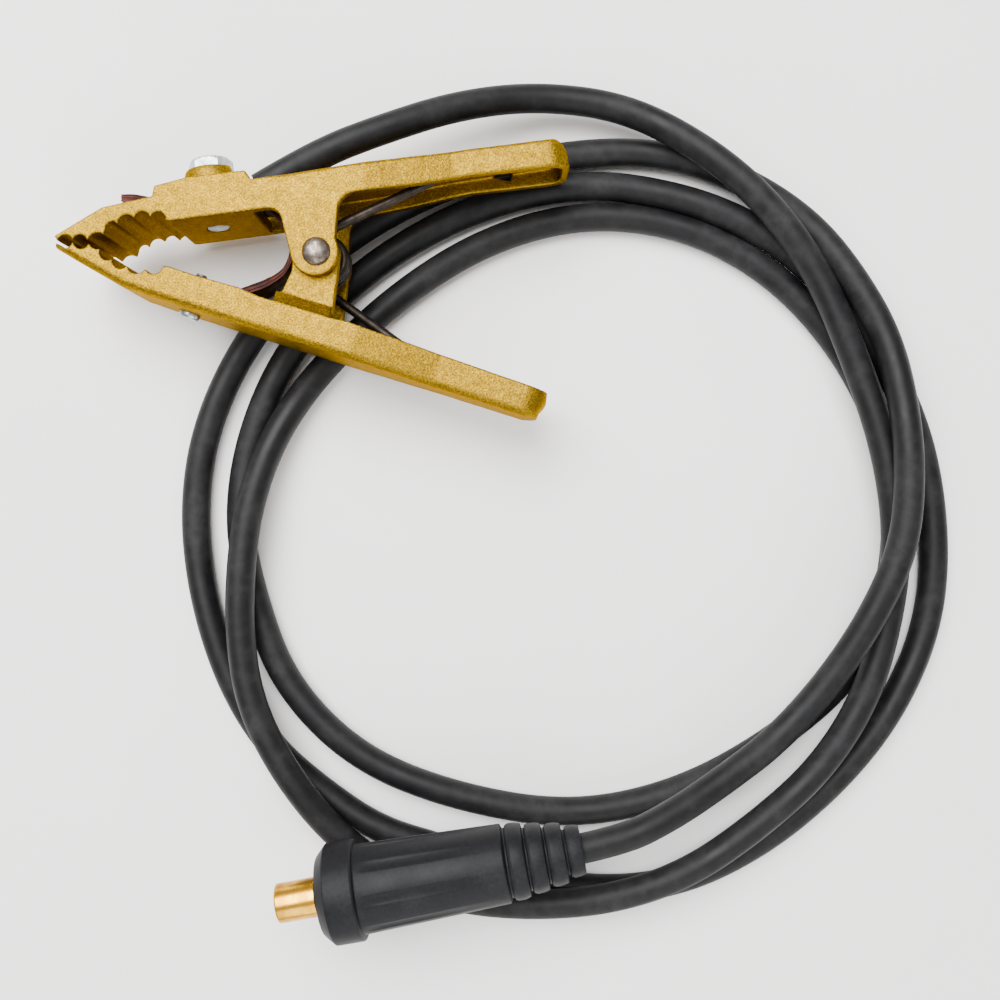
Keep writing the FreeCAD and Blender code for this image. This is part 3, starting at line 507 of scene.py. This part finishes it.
class Lever:
    """One lever's outside: its outer edges in profile, and its rounded plan.

    The rounding of its edges grows from x = `round_from` to its full radius.
    """

    def __init__(self, web, degrees, end, outer, round_radius, round_from):
        angle = math.radians(degrees)
        self.web = Vector((0.0, web, 0.0))
        self.along = Vector((math.cos(angle), math.sin(angle), 0.0))
        self.end = end
        self.round_radius = round_radius
        self.round_from = round_from
        self.sides = []
        middle = Vector((0.0, 0.0, 0.0))
        for corner, after in zip(outer, outer[1:]):
            a = Vector((*corner, 0.0))
            run = Vector((*after, 0.0)) - a
            inward = Vector((-run.y, run.x, 0.0)).normalized()
            if inward.dot(middle - a) < 0:
                inward.negate()
            self.sides.append((a, inward))

    def depth(self, spot):
        """How far inside the profile's outer edges a point lies, and the way in."""
        return min(((spot - a).dot(inward), index) for index, (a, inward) in enumerate(self.sides))

    def plan(self, spot):
        """How far inside the plan outline a point lies, and the way in."""
        x = (spot - self.web).dot(self.along)
        side = 1.0 if spot.z > 0 else -1.0
        z = abs(spot.z)
        corner = self.end - HANDLE_CORNER
        across = HANDLE_HALF - HANDLE_CORNER
        if x > corner and z > across:
            reach = math.hypot(x - corner, z - across)
            way = self.along * (x - corner) + Vector((0.0, 0.0, side * (z - across)))
            return HANDLE_CORNER - reach, -way / reach
        if x > corner:
            return self.end - x, -self.along
        part = min(1.0, max(0.0, (x - TAPER[0]) / (TAPER[1] - TAPER[0])))
        half = HALF_WIDTH + (HANDLE_HALF - HALF_WIDTH) * part
        return half - z, Vector((0.0, 0.0, -side))

    def rounded(self, spot):
        """The point moved onto the rounding of the outer edge, if it lies outside that."""
        grown = min(1.0, (spot.x - self.round_from) / ROUND_RUN)
        if grown <= ROUND_LEAST:
            return spot
        radius = self.round_radius * grown
        inside, index = self.depth(spot)
        if inside >= radius:
            return spot
        inside = max(inside, 0.0)
        edge, way = self.plan(spot)
        if edge >= radius:
            return spot
        reach = math.hypot(radius - inside, radius - edge)
        if reach <= radius:
            return spot
        share = 1 - radius / reach
        return spot + (self.sides[index][1] * (radius - inside) + way * (radius - edge)) * share


UPPER_HANDLE = [(-23.1, 21.4), (46.0, 38.9), (73.5, 44.8), (76.2, 44.1), (78.4, 42.4),
                (79.5, 40.4), (79.8, 38.4)]
LOWER_OUTER = [(-84.2, -6.0), (-77.4, -9.3), (-71.6, -12.0), (-62.3, -16.3), (-54.6, -18.2),
               (-44.5, -20.6), (71.1, -46.4), (76.0, -46.6), (78.4, -44.4)]
UPPER_LEVER = Lever(23.54, 13.5, 81.4, UPPER_HANDLE, 1.6, UPPER_HANDLE[0][0])
LOWER_LEVER = Lever(-27.46, -12.56, 79.8, LOWER_OUTER, 2.6, WHOLE_EDGE)
FOOT_SPAN = (-12.6, 6.2)
FOOT_RISE = 4.0
FOOT_SINK = 1.2
FOOT_LIP = 1.0
FOOT_INSIDE = 11.0
FOOT_TOP = 13.2
FOOT_OUTSIDE = 16.8
EDGE_FRONT = (-16.8, -16.0)
EDGE_BACK = (5.8, -20.7)


def foot_line(x):
    """Height of the lower lever's inner edge beside its ears."""
    rise = (x - EDGE_FRONT[0]) * (EDGE_BACK[1] - EDGE_FRONT[1])
    return EDGE_FRONT[1] + rise / (EDGE_BACK[0] - EDGE_FRONT[0])


def foot_wedges():
    """The slanted feet that carry the ears out to the lever's full width."""
    feet = []
    for side in (-1, 1):
        verts = []
        for x in FOOT_SPAN:
            low = foot_line(x) - FOOT_SINK
            high = foot_line(x) + FOOT_RISE
            verts += [at(x, low, side * FOOT_INSIDE), at(x, low, side * FOOT_OUTSIDE),
                      at(x, low + FOOT_LIP, side * FOOT_OUTSIDE), at(x, high, side * FOOT_TOP),
                      at(x, high, side * FOOT_INSIDE)]
        faces = [(0, 1, 2, 3, 4), (5, 6, 7, 8, 9)]
        faces += [(k, (k + 1) % 5, (k + 1) % 5 + 5, k + 5) for k in range(5)]
        feet.append(mesh_from("foot", verts, faces, False))
    return feet


def cast_piece(node, name, body, lever, extras):
    """The casting: rounded edges and a slightly wavy sand-cast surface over the CAD shape."""
    mesh = frame["nodes"][node].data.copy()
    weld(mesh)
    rough = bpy.data.objects.new(name + "_rough", join_meshes(name + "_rough", [mesh] + extras))
    bpy.context.scene.collection.objects.link(rough)
    remesh = rough.modifiers.new("remesh", "REMESH")
    remesh.mode = "VOXEL"
    remesh.voxel_size = VOXEL_M
    relax = rough.modifiers.new("relax", "SMOOTH")
    relax.factor = 0.5
    relax.iterations = 3
    depsgraph = bpy.context.evaluated_depsgraph_get()
    cast = bpy.data.meshes.new_from_object(rough.evaluated_get(depsgraph))
    cast.name = name
    bpy.data.objects.remove(rough)
    for vertex in cast.vertices:
        vertex.co = at(*lever.rounded((vertex.co - PIVOT) / MM))
    wave_m = CAST_WAVE * MM
    scale = 1 / (CAST_WAVE_SIZE * MM)
    normals = [v.normal.copy() for v in cast.vertices]
    for vertex, normal in zip(cast.vertices, normals):
        swell = noise.noise(vertex.co * scale) + 0.5 * noise.noise(vertex.co * scale * 3.1)
        vertex.co += normal * swell * wave_m
    cast.shade_smooth()
    return new_piece(name, cast, "cast_brass", body, node)


cast_piece("upper_jaw", "upper_casting", UPPER, UPPER_LEVER, [])
cast_piece("lower_jaw", "lower_casting", LOWER, LOWER_LEVER, foot_wedges())

# ---- pivot and spring ------------------------------------------------------------------

RIVET_HEAD = 4.65
RIVET_RISE = 2.6
RIVET_SHANK = 3.0
Z_AXIS = Vector((0.0, 0.0, 1.0))


def dome(radius, rise, base, sign):
    """Profile points of a domed head, from its rim to its crown."""
    points = []
    for step in range(9):
        t = step / 8
        lift = math.sin(t * math.pi / 2)
        points.append((radius * math.cos(t * math.pi / 2), base + sign * rise * lift))
    return points


def make_rivet():
    top = dome(RIVET_HEAD, RIVET_RISE, HALF_WIDTH, 1)
    low = dome(RIVET_HEAD, RIVET_RISE, -HALF_WIDTH, -1)
    profile = low[::-1] + [(RIVET_SHANK, -HALF_WIDTH), (RIVET_SHANK, HALF_WIDTH)] + top

    def hammered(radius, height, angle):
        if abs(height) <= HALF_WIDTH:
            return radius
        return radius * (1 - 0.015 * (1 + math.sin(3 * angle + height)))

    mesh = lathe("rivet_body", profile, frame_on(PIVOT, Z_AXIS), 64, hammered)
    sharpen(mesh, 40)
    new_piece("rivet_body", mesh, "rivet_steel", UPPER, "pivot_rivet")


BUSH_OUTER = 4.9
BUSH_INNER = 3.05
BUSH_HALF = 9.3


def make_bush():
    ring = [(BUSH_INNER, -BUSH_HALF), (BUSH_OUTER, -BUSH_HALF), (BUSH_OUTER, BUSH_HALF),
            (BUSH_INNER, BUSH_HALF), (BUSH_INNER, -BUSH_HALF)]
    mesh = lathe("bush_tube", soften(ring, 0.4), frame_on(PIVOT, Z_AXIS), 64)
    sharpen(mesh)
    new_piece("bush_tube", mesh, "turned_brass", UPPER, "spring_bush")


WIRE = 1.6
COIL = 7.3
COIL_RISE = 12.6
LEG_ANGLE = math.radians(30.5)
UPPER_LEG = 45.0
LOWER_LEG = 56.0
COIL_TURNS = 3
COIL_STEPS = 160
LEG_STEPS = 24


def spring_path():
    """Centre line of the spring, from the lower leg's tip to the upper leg's tip."""
    first = math.radians(270) - LEG_ANGLE
    sweep = 2 * math.pi * COIL_TURNS + math.pi - 2 * LEG_ANGLE
    low = Vector((COIL * math.cos(first), COIL * math.sin(first), -COIL_RISE / 2))
    high = Vector((low.x, -low.y, COIL_RISE / 2))
    low_way = Vector((math.cos(LEG_ANGLE), -math.sin(LEG_ANGLE), 0))
    high_way = Vector((math.cos(LEG_ANGLE), math.sin(LEG_ANGLE), 0))
    path = [low + low_way * LOWER_LEG * (1 - k / LEG_STEPS) for k in range(LEG_STEPS)]
    for step in range(COIL_STEPS + 1):
        t = step / COIL_STEPS
        angle = first - sweep * t
        path.append(Vector((COIL * math.cos(angle), COIL * math.sin(angle), COIL_RISE * (t - 0.5))))
    path += [high + high_way * UPPER_LEG * k / LEG_STEPS for k in range(1, LEG_STEPS + 1)]
    return [at(*point) for point in path]


def make_spring():
    mesh = tube_mesh("spring_wire", spring_path(), WIRE * MM, 18)
    piece = new_piece("spring_wire", mesh, "spring_steel", None, "torsion_spring")
    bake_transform(piece)


make_rivet()
make_bush()
make_spring()

# ---- cable connection ------------------------------------------------------------------

FLOOR_SLOPE = math.radians(12.1)
FLOOR_FRONT = (-47.8, 5.7)
PLATE_ALONG = Vector((math.cos(FLOOR_SLOPE), math.sin(FLOOR_SLOPE), 0))
PLATE_UP = Vector((-math.sin(FLOOR_SLOPE), math.cos(FLOOR_SLOPE), 0))
BOLT_X = -36.4
STRAP_LEVEL = 4.0
PALM_LEVEL = 6.4
SADDLE_LEVEL = 9.4
WASHER_LEVEL = 15.7
HEAD_LEVEL = 17.7
HEAD_HEIGHT = 5.3


def floor_spot(x, level):
    """A point above the jaw floor's inner face, `level` mm out along its normal."""
    rise = math.tan(FLOOR_SLOPE) * (x - FLOOR_FRONT[0])
    return Vector((x, FLOOR_FRONT[1] + rise + level / math.cos(FLOOR_SLOPE), 0))


BOLT_FOOT = floor_spot(BOLT_X, 0.0)


def on_bolt(level):
    spot = BOLT_FOOT + PLATE_UP * level
    return frame_on(at(*spot), PLATE_UP, PLATE_ALONG)


def hexagon_radius(flats, angle):
    """Distance from the middle to the side of a hexagon."""
    sixth = math.pi / 3
    return flats / 2 / math.cos((angle % sixth) - sixth / 2)


HEX_LEVELS = 14
HEX_CROWN = 0.97
CHAMFER_SLOPE = math.tan(math.radians(30))
CHAMFER_SHARE = 0.55


def hex_mesh(name, flats, height, matrix, bore=0.0, both=False):
    """A hexagon with the turned chamfer that makes curved edges on its sides."""
    crown = flats / 2 * HEX_CROWN
    outer = [(1.0, height * k / HEX_LEVELS) for k in range(HEX_LEVELS + 1)]
    profile = [(bore, 0.0)] + outer + [(crown, height), (bore, height)]

    def shape(radius, z, angle):
        if radius != 1.0:
            return radius
        limit = crown + (height - z) / CHAMFER_SLOPE * CHAMFER_SHARE
        if both:
            limit = min(limit, crown + z / CHAMFER_SLOPE * CHAMFER_SHARE)
        return min(hexagon_radius(flats, angle), limit)

    mesh = lathe(name, profile, matrix, 96, shape)
    sharpen(mesh, 24)
    return mesh


def thread_mesh(name, radius, pitch, low, high, matrix, steps=36):
    """A screw thread as rings whose crests climb one pitch a turn."""
    rows = int((high - low) / pitch * 6)
    verts = []
    faces = []
    for row in range(rows + 1):
        z = low + (high - low) * row / rows
        for k in range(steps):
            angle = 2 * math.pi * k / steps
            phase = (z / pitch - k / steps) % 1.0
            r = radius - pitch * 0.5 * abs(2 * phase - 1)
            if row in (0, rows):
                r = radius - pitch * 0.5
            verts.append(matrix @ (Vector((r * math.cos(angle), r * math.sin(angle), z)) * MM))
    for row in range(rows):
        for k in range(steps):
            m = (k + 1) % steps
            a = row * steps
            faces.append((a + k, a + m, a + steps + m, a + steps + k))
    faces.append(tuple(range(steps))[::-1])
    last = rows * steps
    faces.append(tuple(range(last, last + steps)))
    mesh = mesh_from(name, verts, faces)
    sharpen(mesh, 30)
    return mesh


def make_cable_bolt():
    shank = thread_mesh("bolt_thread", 3.95, 1.25, 0.15, HEAD_LEVEL, on_bolt(0.0))
    head = hex_mesh("bolt_hex", 13.0, HEAD_HEIGHT, on_bolt(HEAD_LEVEL))
    mesh = join_meshes("hex_bolt", [shank, head])
    sharpen(mesh, 26)
    new_piece("hex_bolt", mesh, "zinc_steel", UPPER, "cable_bolt")


WASHER_OUTER = 7.0
WASHER_INNER = 4.2
SPLIT_ANGLE = math.radians(9)


def make_spring_washer():
    """A square-section ring whose two ends stand apart at the split."""
    matrix = on_bolt(WASHER_LEVEL)
    corners = [(WASHER_INNER, 0.1), (WASHER_OUTER, 0.1), (WASHER_OUTER, 1.7), (WASHER_INNER, 1.7)]
    verts = []
    faces = []
    steps = 60
    for step in range(steps + 1):
        t = step / steps
        angle = SPLIT_ANGLE / 2 + (2 * math.pi - SPLIT_ANGLE) * t
        for r, z in corners:
            spot = Vector((r * math.cos(angle), r * math.sin(angle), z + 0.2 * t))
            verts.append(matrix @ (spot * MM))
    for step in range(steps):
        for k in range(4):
            m = (k + 1) % 4
            a = step * 4
            faces.append((a + k, a + 4 + k, a + 4 + m, a + m))
    faces.append((3, 2, 1, 0))
    faces.append(tuple(steps * 4 + k for k in range(4)))
    mesh = mesh_from("split_washer", verts, faces)
    sharpen(mesh)
    new_piece("split_washer", mesh, "zinc_steel", UPPER, "spring_washer")


SADDLE_RADIUS = 9.5
SADDLE_SEAT = 6.3
SADDLE_RIM = 10.0
SADDLE_RECESS = 8.0
SADDLE_FLAT = 7.0


def make_saddle():
    rim = SADDLE_RIM - 0.05
    profile = [(4.2, 0), (SADDLE_RADIUS - 0.1, 0), (SADDLE_RADIUS, 0.6),
               (SADDLE_RADIUS - 0.1, rim * 0.5), (SADDLE_RADIUS - 0.5, rim - 1.2),
               (SADDLE_RADIUS - 1.0, rim), (SADDLE_RECESS, rim - 0.1),
               (SADDLE_RECESS, SADDLE_SEAT), (4.2, SADDLE_SEAT), (4.2, 0)]

    def flattened(radius, height, angle):
        across = abs(math.sin(angle) * radius)
        if math.cos(angle) > 0 and across < 4.6 and radius > SADDLE_FLAT:
            return SADDLE_FLAT / max(math.cos(angle), 0.2) - 0.02 * (SADDLE_RADIUS - radius)
        return radius

    mesh = lathe("saddle_block", soften(profile, 0.5), on_bolt(SADDLE_LEVEL), 96, flattened)
    sharpen(mesh, 35)
    new_piece("saddle_block", mesh, "cast_brass", UPPER, "clamp_saddle")


PALM_RADIUS = 8.0
BARREL_RADIUS = 3.75
STRAND_CIRCLE = 2.9
BARE_LENGTH = 5.4
CABLE_START = Vector(CABLE_ROUTE[0])
CABLE_WAY = (Vector(CABLE_ROUTE[1]) - Vector(CABLE_ROUTE[0])).normalized()


def on_cable(offset):
    """A frame on the cable's first run, `offset` mm past the end of its sheath."""
    return frame_on(at(*(CABLE_START + CABLE_WAY * offset)), CABLE_WAY, PLATE_UP)


def make_lug():
    """Palm with a drilled round end, and a crimped barrel."""
    palm = [(4.2, 0.05), (PALM_RADIUS, 0.05), (PALM_RADIUS, 2.9), (4.2, 2.9), (4.2, 0.05)]

    def tongue(radius, height, angle):
        if radius < PALM_RADIUS - 0.5:
            return radius
        ahead = math.cos(angle)
        across = abs(math.sin(angle))
        if ahead > 0.3:
            return min(11.0 / ahead, max(PALM_RADIUS, 4.9 / max(across, 0.05)), 11.8)
        return radius

    plate = lathe("lug_palm", soften(palm, 0.4), on_bolt(PALM_LEVEL), 96, tongue)
    wall = [(STRAND_CIRCLE, 0), (BARREL_RADIUS, 0), (BARREL_RADIUS, 3.6), (STRAND_CIRCLE, 3.6),
            (STRAND_CIRCLE, 0)]

    def crimped(radius, height, angle):
        if radius < BARREL_RADIUS - 0.3:
            return radius
        return radius - 0.25 * max(0.0, math.cos(6 * angle))

    barrel = lathe("lug_barrel", soften(wall, 0.2), on_cable(-BARE_LENGTH), 72, crimped)
    mesh = join_meshes("lug_plate", [plate, barrel])
    sharpen(mesh)
    new_piece("lug_plate", mesh, "copper", UPPER, "cable_lug")


STRAND_RINGS = [(1, 0.0), (6, 1.0), (12, 2.1)]
STRAND_RADIUS = 0.5
STRAND_STEPS = 12
STRAND_TWIST = 0.9
STRAND_BULGE = 0.25


def make_strands():
    """Twisted bare strands between the lug and the sheath, the outer ones a little loose."""
    matrix = on_cable(-BARE_LENGTH + 0.1)
    strands = []
    for count, ring in STRAND_RINGS:
        for k in range(count):
            start = 2 * math.pi * k / count
            path = []
            for step in range(STRAND_STEPS + 1):
                t = step / STRAND_STEPS
                angle = start + STRAND_TWIST * t
                r = ring + STRAND_BULGE * math.sin(math.pi * t) * (ring > 1.5)
                spot = Vector((r * math.cos(angle), r * math.sin(angle), t * (BARE_LENGTH + 0.3)))
                path.append(matrix @ (spot * MM))
            strands.append(tube_mesh("strand", path, STRAND_RADIUS * MM, 8))
    mesh = join_meshes("bare_strands", strands)
    new_piece("bare_strands", mesh, "copper", UPPER, "clamp_conductor")


make_cable_bolt()
make_spring_washer()
make_saddle()
make_lug()
make_strands()

# ---- bonding strap ---------------------------------------------------------------------

STRAP_THICK = 2.4
STRAP_WIDTH = 16.0
STRAP_FOILS = 6
BEND_LEVEL = 2.0
BEND_REACH = 11.0
STRAP_MIDDLE = STRAP_LEVEL + STRAP_THICK / 2
STRAP_LINE = [
    (-67.4, 14.0), (-62.0, 14.3), (-57.0, 13.5), (-53.2, 11.4),
    tuple(floor_spot(-48.8, STRAP_MIDDLE)[:2]), tuple(floor_spot(-36.0, STRAP_MIDDLE)[:2]),
    tuple(floor_spot(-21.4, STRAP_MIDDLE)[:2]), (-17.0, 14.8), (-13.2, 9.6), (-11.0, 4.2),
    (-10.5, -0.8), (-12.4, -5.6), (-17.2, -9.8), (-25.6, -13.8), (-33.6, -17.1), (-37.6, -17.8),
    (-46.2, -15.9),
]


def smooth_line(points, per_run=6):
    """A Catmull-Rom line through the points."""
    spots = [Vector(p) for p in points]
    line = []
    for k in range(len(spots) - 1):
        p0 = spots[max(k - 1, 0)]
        p1, p2 = spots[k], spots[k + 1]
        p3 = spots[min(k + 2, len(spots) - 1)]
        for step in range(per_run):
            t = step / per_run
            line.append(0.5 * (2 * p1 + (p2 - p0) * t + (2 * p0 - 5 * p1 + 4 * p2 - p3) * t * t
                               + (3 * p1 - p0 - 3 * p2 + p3) * t ** 3))
    line.append(spots[-1])
    return line


def crowding(spot):
    """How far the foils press together beside the coil: 0 where clamped, 1 at the bend."""
    return max(0.0, 1.0 - abs(spot.y - BEND_LEVEL) / BEND_REACH) ** 0.5 if spot.x > -20 else 0.0


def foil_mesh(index, line):
    """One thin sheet of the laminated strap. Its width differs a little from its neighbours'."""
    pitch = STRAP_THICK / STRAP_FOILS
    width = STRAP_WIDTH / 2 - 0.15 - 0.18 * ((index * 5) % 3)
    verts = []
    faces = []
    for k, spot in enumerate(line):
        before = line[max(k - 1, 0)]
        after = line[min(k + 1, len(line) - 1)]
        along = (after - before).normalized()
        normal = Vector((-along.y, along.x))
        squeeze = 1.0 - 0.5 * crowding(spot)
        middle = ((index + 0.5) * pitch - STRAP_THICK / 2) * squeeze
        middle += STRAP_THICK / 2 * (1.0 - squeeze)
        half = pitch * 0.42 * squeeze
        ripple = 0.05 * math.sin(k * 0.9 + index * 2.1)
        for offset in (middle - half + ripple, middle + half + ripple):
            place = spot + normal * offset
            for z in (-width, width):
                verts.append(at(place.x, place.y, z))
    for k in range(len(line) - 1):
        a = k * 4
        b = a + 4
        faces += [(a, b, b + 1, a + 1), (a + 2, a + 3, b + 3, b + 2), (a, a + 2, b + 2, b),
                  (a + 1, b + 1, b + 3, a + 3)]
    last = (len(line) - 1) * 4
    faces += [(0, 1, 3, 2), (last, last + 2, last + 3, last + 1)]
    mesh = mesh_from("foil", verts, faces)
    sharpen(mesh, 40)
    return mesh


def make_strap():
    line = smooth_line(STRAP_LINE)
    foils = [foil_mesh(k, line) for k in range(STRAP_FOILS)]
    mesh = join_meshes("strap_foils", foils)
    sharpen(mesh, 40)
    piece = new_piece("strap_foils", mesh, "copper", None, "bonding_strap")
    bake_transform(piece)


make_strap()

# ---- strap fasteners -------------------------------------------------------------------

SCREW_TILT = math.radians(12.58)
SCREW_UP = Vector((math.sin(SCREW_TILT), math.cos(SCREW_TILT), 0))
SCREW_FOOT = Vector((-43.55, -20.81, 0))
SCREW_LENGTH = 13.4
WASHER_SEAT = 5.5
NUT_SEAT = 6.3


def on_screw(level):
    return frame_on(at(*(SCREW_FOOT + SCREW_UP * level)), SCREW_UP)


def make_strap_fasteners():
    thread = thread_mesh("m4_thread", 1.98, 0.7, 0.0, SCREW_LENGTH - 0.05, on_screw(0.0), 28)
    pan = [(0.9, -1.1), (0.9, -2.3), (2.2, -2.35), (3.1, -1.9), (3.45, -1.1), (3.48, 0.0),
           (1.0, 0.0)]
    head = lathe("pan_head", soften([(0.0, -1.1)] + pan, 0.3), on_screw(0.0), 48)
    screw = join_meshes("pan_screw", [thread, head])
    sharpen(screw, 30)
    new_piece("pan_screw", screw, "zinc_steel", LOWER, "strap_screw")
    ring = [(2.1, 0.0), (3.95, 0.0), (3.95, 0.78), (2.1, 0.78), (2.1, 0.0)]
    mesh = lathe("flat_washer", soften(ring, 0.15), on_screw(WASHER_SEAT), 48)
    sharpen(mesh)
    new_piece("flat_washer", mesh, "zinc_steel", LOWER, "strap_washer")
    nut = hex_mesh("hex_nut", 7.0, 3.2, on_screw(NUT_SEAT), 2.0, both=True)
    new_piece("hex_nut", nut, "zinc_steel", LOWER, "strap_nut")


make_strap_fasteners()

# ---- plug ------------------------------------------------------------------------------

PLUG_TIP = Vector((2.35, -216.0, 2.8))
PLUG_ANGLE = math.radians(15.1)
PLUG_WAY = Vector((math.cos(PLUG_ANGLE), math.sin(PLUG_ANGLE), 0))
PIN_TIP = 1.5
SLEEVE_FRONT = 16.5
SLEEVE_END = 105.1
FLANGE_RADIUS = 16.5
GRIP_RADIUS = 14.5
GRIP_REAR = 12.9
RIB_BAND = 25.8
RIB_STEPS = [(12.5, 5.6), (11.4, 5.6), (10.3, 5.6), (8.5, 5.2)]
RIB_GROOVE = 0.95
RIB_DEPTH = 1.2
FLUTE_COUNT = 8
FLUTE_DEPTH = 0.42
FLUTE_START = 16.0
FLUTE_END = 76.0
FLUTE_FADE = 30.0
FLUTE_MIN_RADIUS = 11.0
FLUTE_LAND = 0.55


def on_plug(distance=0.0):
    return frame_on(at(*(PLUG_TIP + PLUG_WAY * distance)), PLUG_WAY, Z_AXIS)


def grip_flutes(radius, height, angle):
    """Shallow lengthwise flutes behind the flange that fade out along the grip."""
    start = SLEEVE_FRONT + FLUTE_START
    if radius < FLUTE_MIN_RADIUS or height < start or height > FLUTE_END:
        return radius
    fade = min(1.0, (FLUTE_END - height) / FLUTE_FADE, (height - start) / 1.5 + 0.3)
    wave = math.cos(FLUTE_COUNT * angle)
    trough = max(0.0, wave - FLUTE_LAND) / 0.45
    return radius - FLUTE_DEPTH * fade * trough ** 0.6


def sleeve_profile():
    front = SLEEVE_FRONT
    outer = [(6.6, front), (FLANGE_RADIUS - 3.6, front), (FLANGE_RADIUS - 0.05, front + 3.4),
             (FLANGE_RADIUS, front + 12.4), (FLANGE_RADIUS - 0.5, front + 13.0),
             (GRIP_RADIUS + 0.1, front + 13.2), (GRIP_RADIUS, front + 13.9)]
    grip_start = front + 15.0
    grip_end = SLEEVE_END - RIB_BAND - 0.5
    steps = 14
    for k in range(steps + 1):
        t = k / steps
        outer.append((GRIP_RADIUS + (GRIP_REAR - GRIP_RADIUS) * t,
                      grip_start + (grip_end - grip_start) * t))
    here = SLEEVE_END - RIB_BAND
    for radius, width in RIB_STEPS:
        floor = radius - RIB_DEPTH
        start = here + RIB_GROOVE
        outer += [(floor, here + 0.1), (floor, start - 0.1), (radius - 0.5, start),
                  (radius, start + 1.2), (radius - 0.1, start + width * 0.6),
                  (radius - 0.6, start + width - 0.2)]
        here = start + width
    outer += [(5.6, SLEEVE_END - 0.1), (5.1, SLEEVE_END - 0.7), (5.1, SLEEVE_END - 12.0)]
    return outer


def make_sleeve():
    mesh = lathe("plug_boot", soften(sleeve_profile(), 0.35, 4), on_plug(), 192, grip_flutes)
    sharpen(mesh, 38)
    return new_piece("plug_boot", mesh, "plug_rubber", UPPER, "plug_sleeve")


def make_contact_pin():
    tip = PIN_TIP
    profile = [(0.0, tip + 1.0), (4.6, tip + 1.0), (4.9, tip + 0.3), (5.4, tip + 0.02),
               (6.1, tip + 0.02), (6.45, tip + 0.4), (6.45, SLEEVE_FRONT - 1.6),
               (6.2, SLEEVE_FRONT - 1.3), (6.2, SLEEVE_FRONT + 1.0),
               (0.0, SLEEVE_FRONT + 1.0)]
    mesh = lathe("brass_pin", soften(profile, 0.25), on_plug(), 96)
    sharpen(mesh, 30)
    return new_piece("brass_pin", mesh, "turned_brass", UPPER, "contact_pin")


boot = make_sleeve()
pin = make_contact_pin()

# ---- cable, remaining nodes, and light -------------------------------------------------

INNER_NODES = {
    "plug_ferrule": "copper", "plug_conductor": "copper", "plug_set_screws": "zinc_steel",
    "plug_retaining_pin": "rivet_steel",
}


def declare_cable():
    dress(cable, "cable_rubber")
    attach(cable, UPPER)
    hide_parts("welding_cable")
    for node, slot in INNER_NODES.items():
        dress(frame["nodes"][node], slot)


def make_floor():
    verts = [at(0, 0, TABLE_Z - 0.05) + Vector((x, y, 0)) * FLOOR_HALF_M
             for x, y in ((-1, -1), (1, -1), (1, 1), (-1, 1))]
    floor = bpy.data.objects.new("floor", mesh_from("floor", verts, [(0, 1, 2, 3)], False))
    bpy.context.scene.collection.objects.link(floor)
    floor.data.materials.append(floor_paint())


def area_light(name, spot_m, size_m, watts, target_m):
    data = bpy.data.lights.new(name, "AREA")
    data.shape = "SQUARE"
    data.size = size_m
    data.energy = watts
    light = bpy.data.objects.new(name, data)
    light.location = spot_m
    aim = Vector(target_m) - Vector(spot_m)
    light.rotation_euler = aim.to_track_quat("-Z", "Y").to_euler()
    bpy.context.scene.collection.objects.link(light)


def make_lights():
    middle = at(*CAMERA_SPOT, TABLE_Z)
    area_light("key", middle + Vector((-0.35, 0.45, 1.1)), 1.0, 48.0, middle)
    area_light("fill", middle + Vector((0.35, -0.95, 0.75)), 1.2, 15.0, middle)
    world = bpy.data.worlds.new("studio")
    world.use_nodes = True
    background = world.node_tree.nodes["Background"]
    background.inputs["Color"].default_value = (1.0, 0.99, 0.98, 1.0)
    background.inputs["Strength"].default_value = 0.56
    bpy.context.scene.world = world


declare_cable()
make_floor()
make_lights()
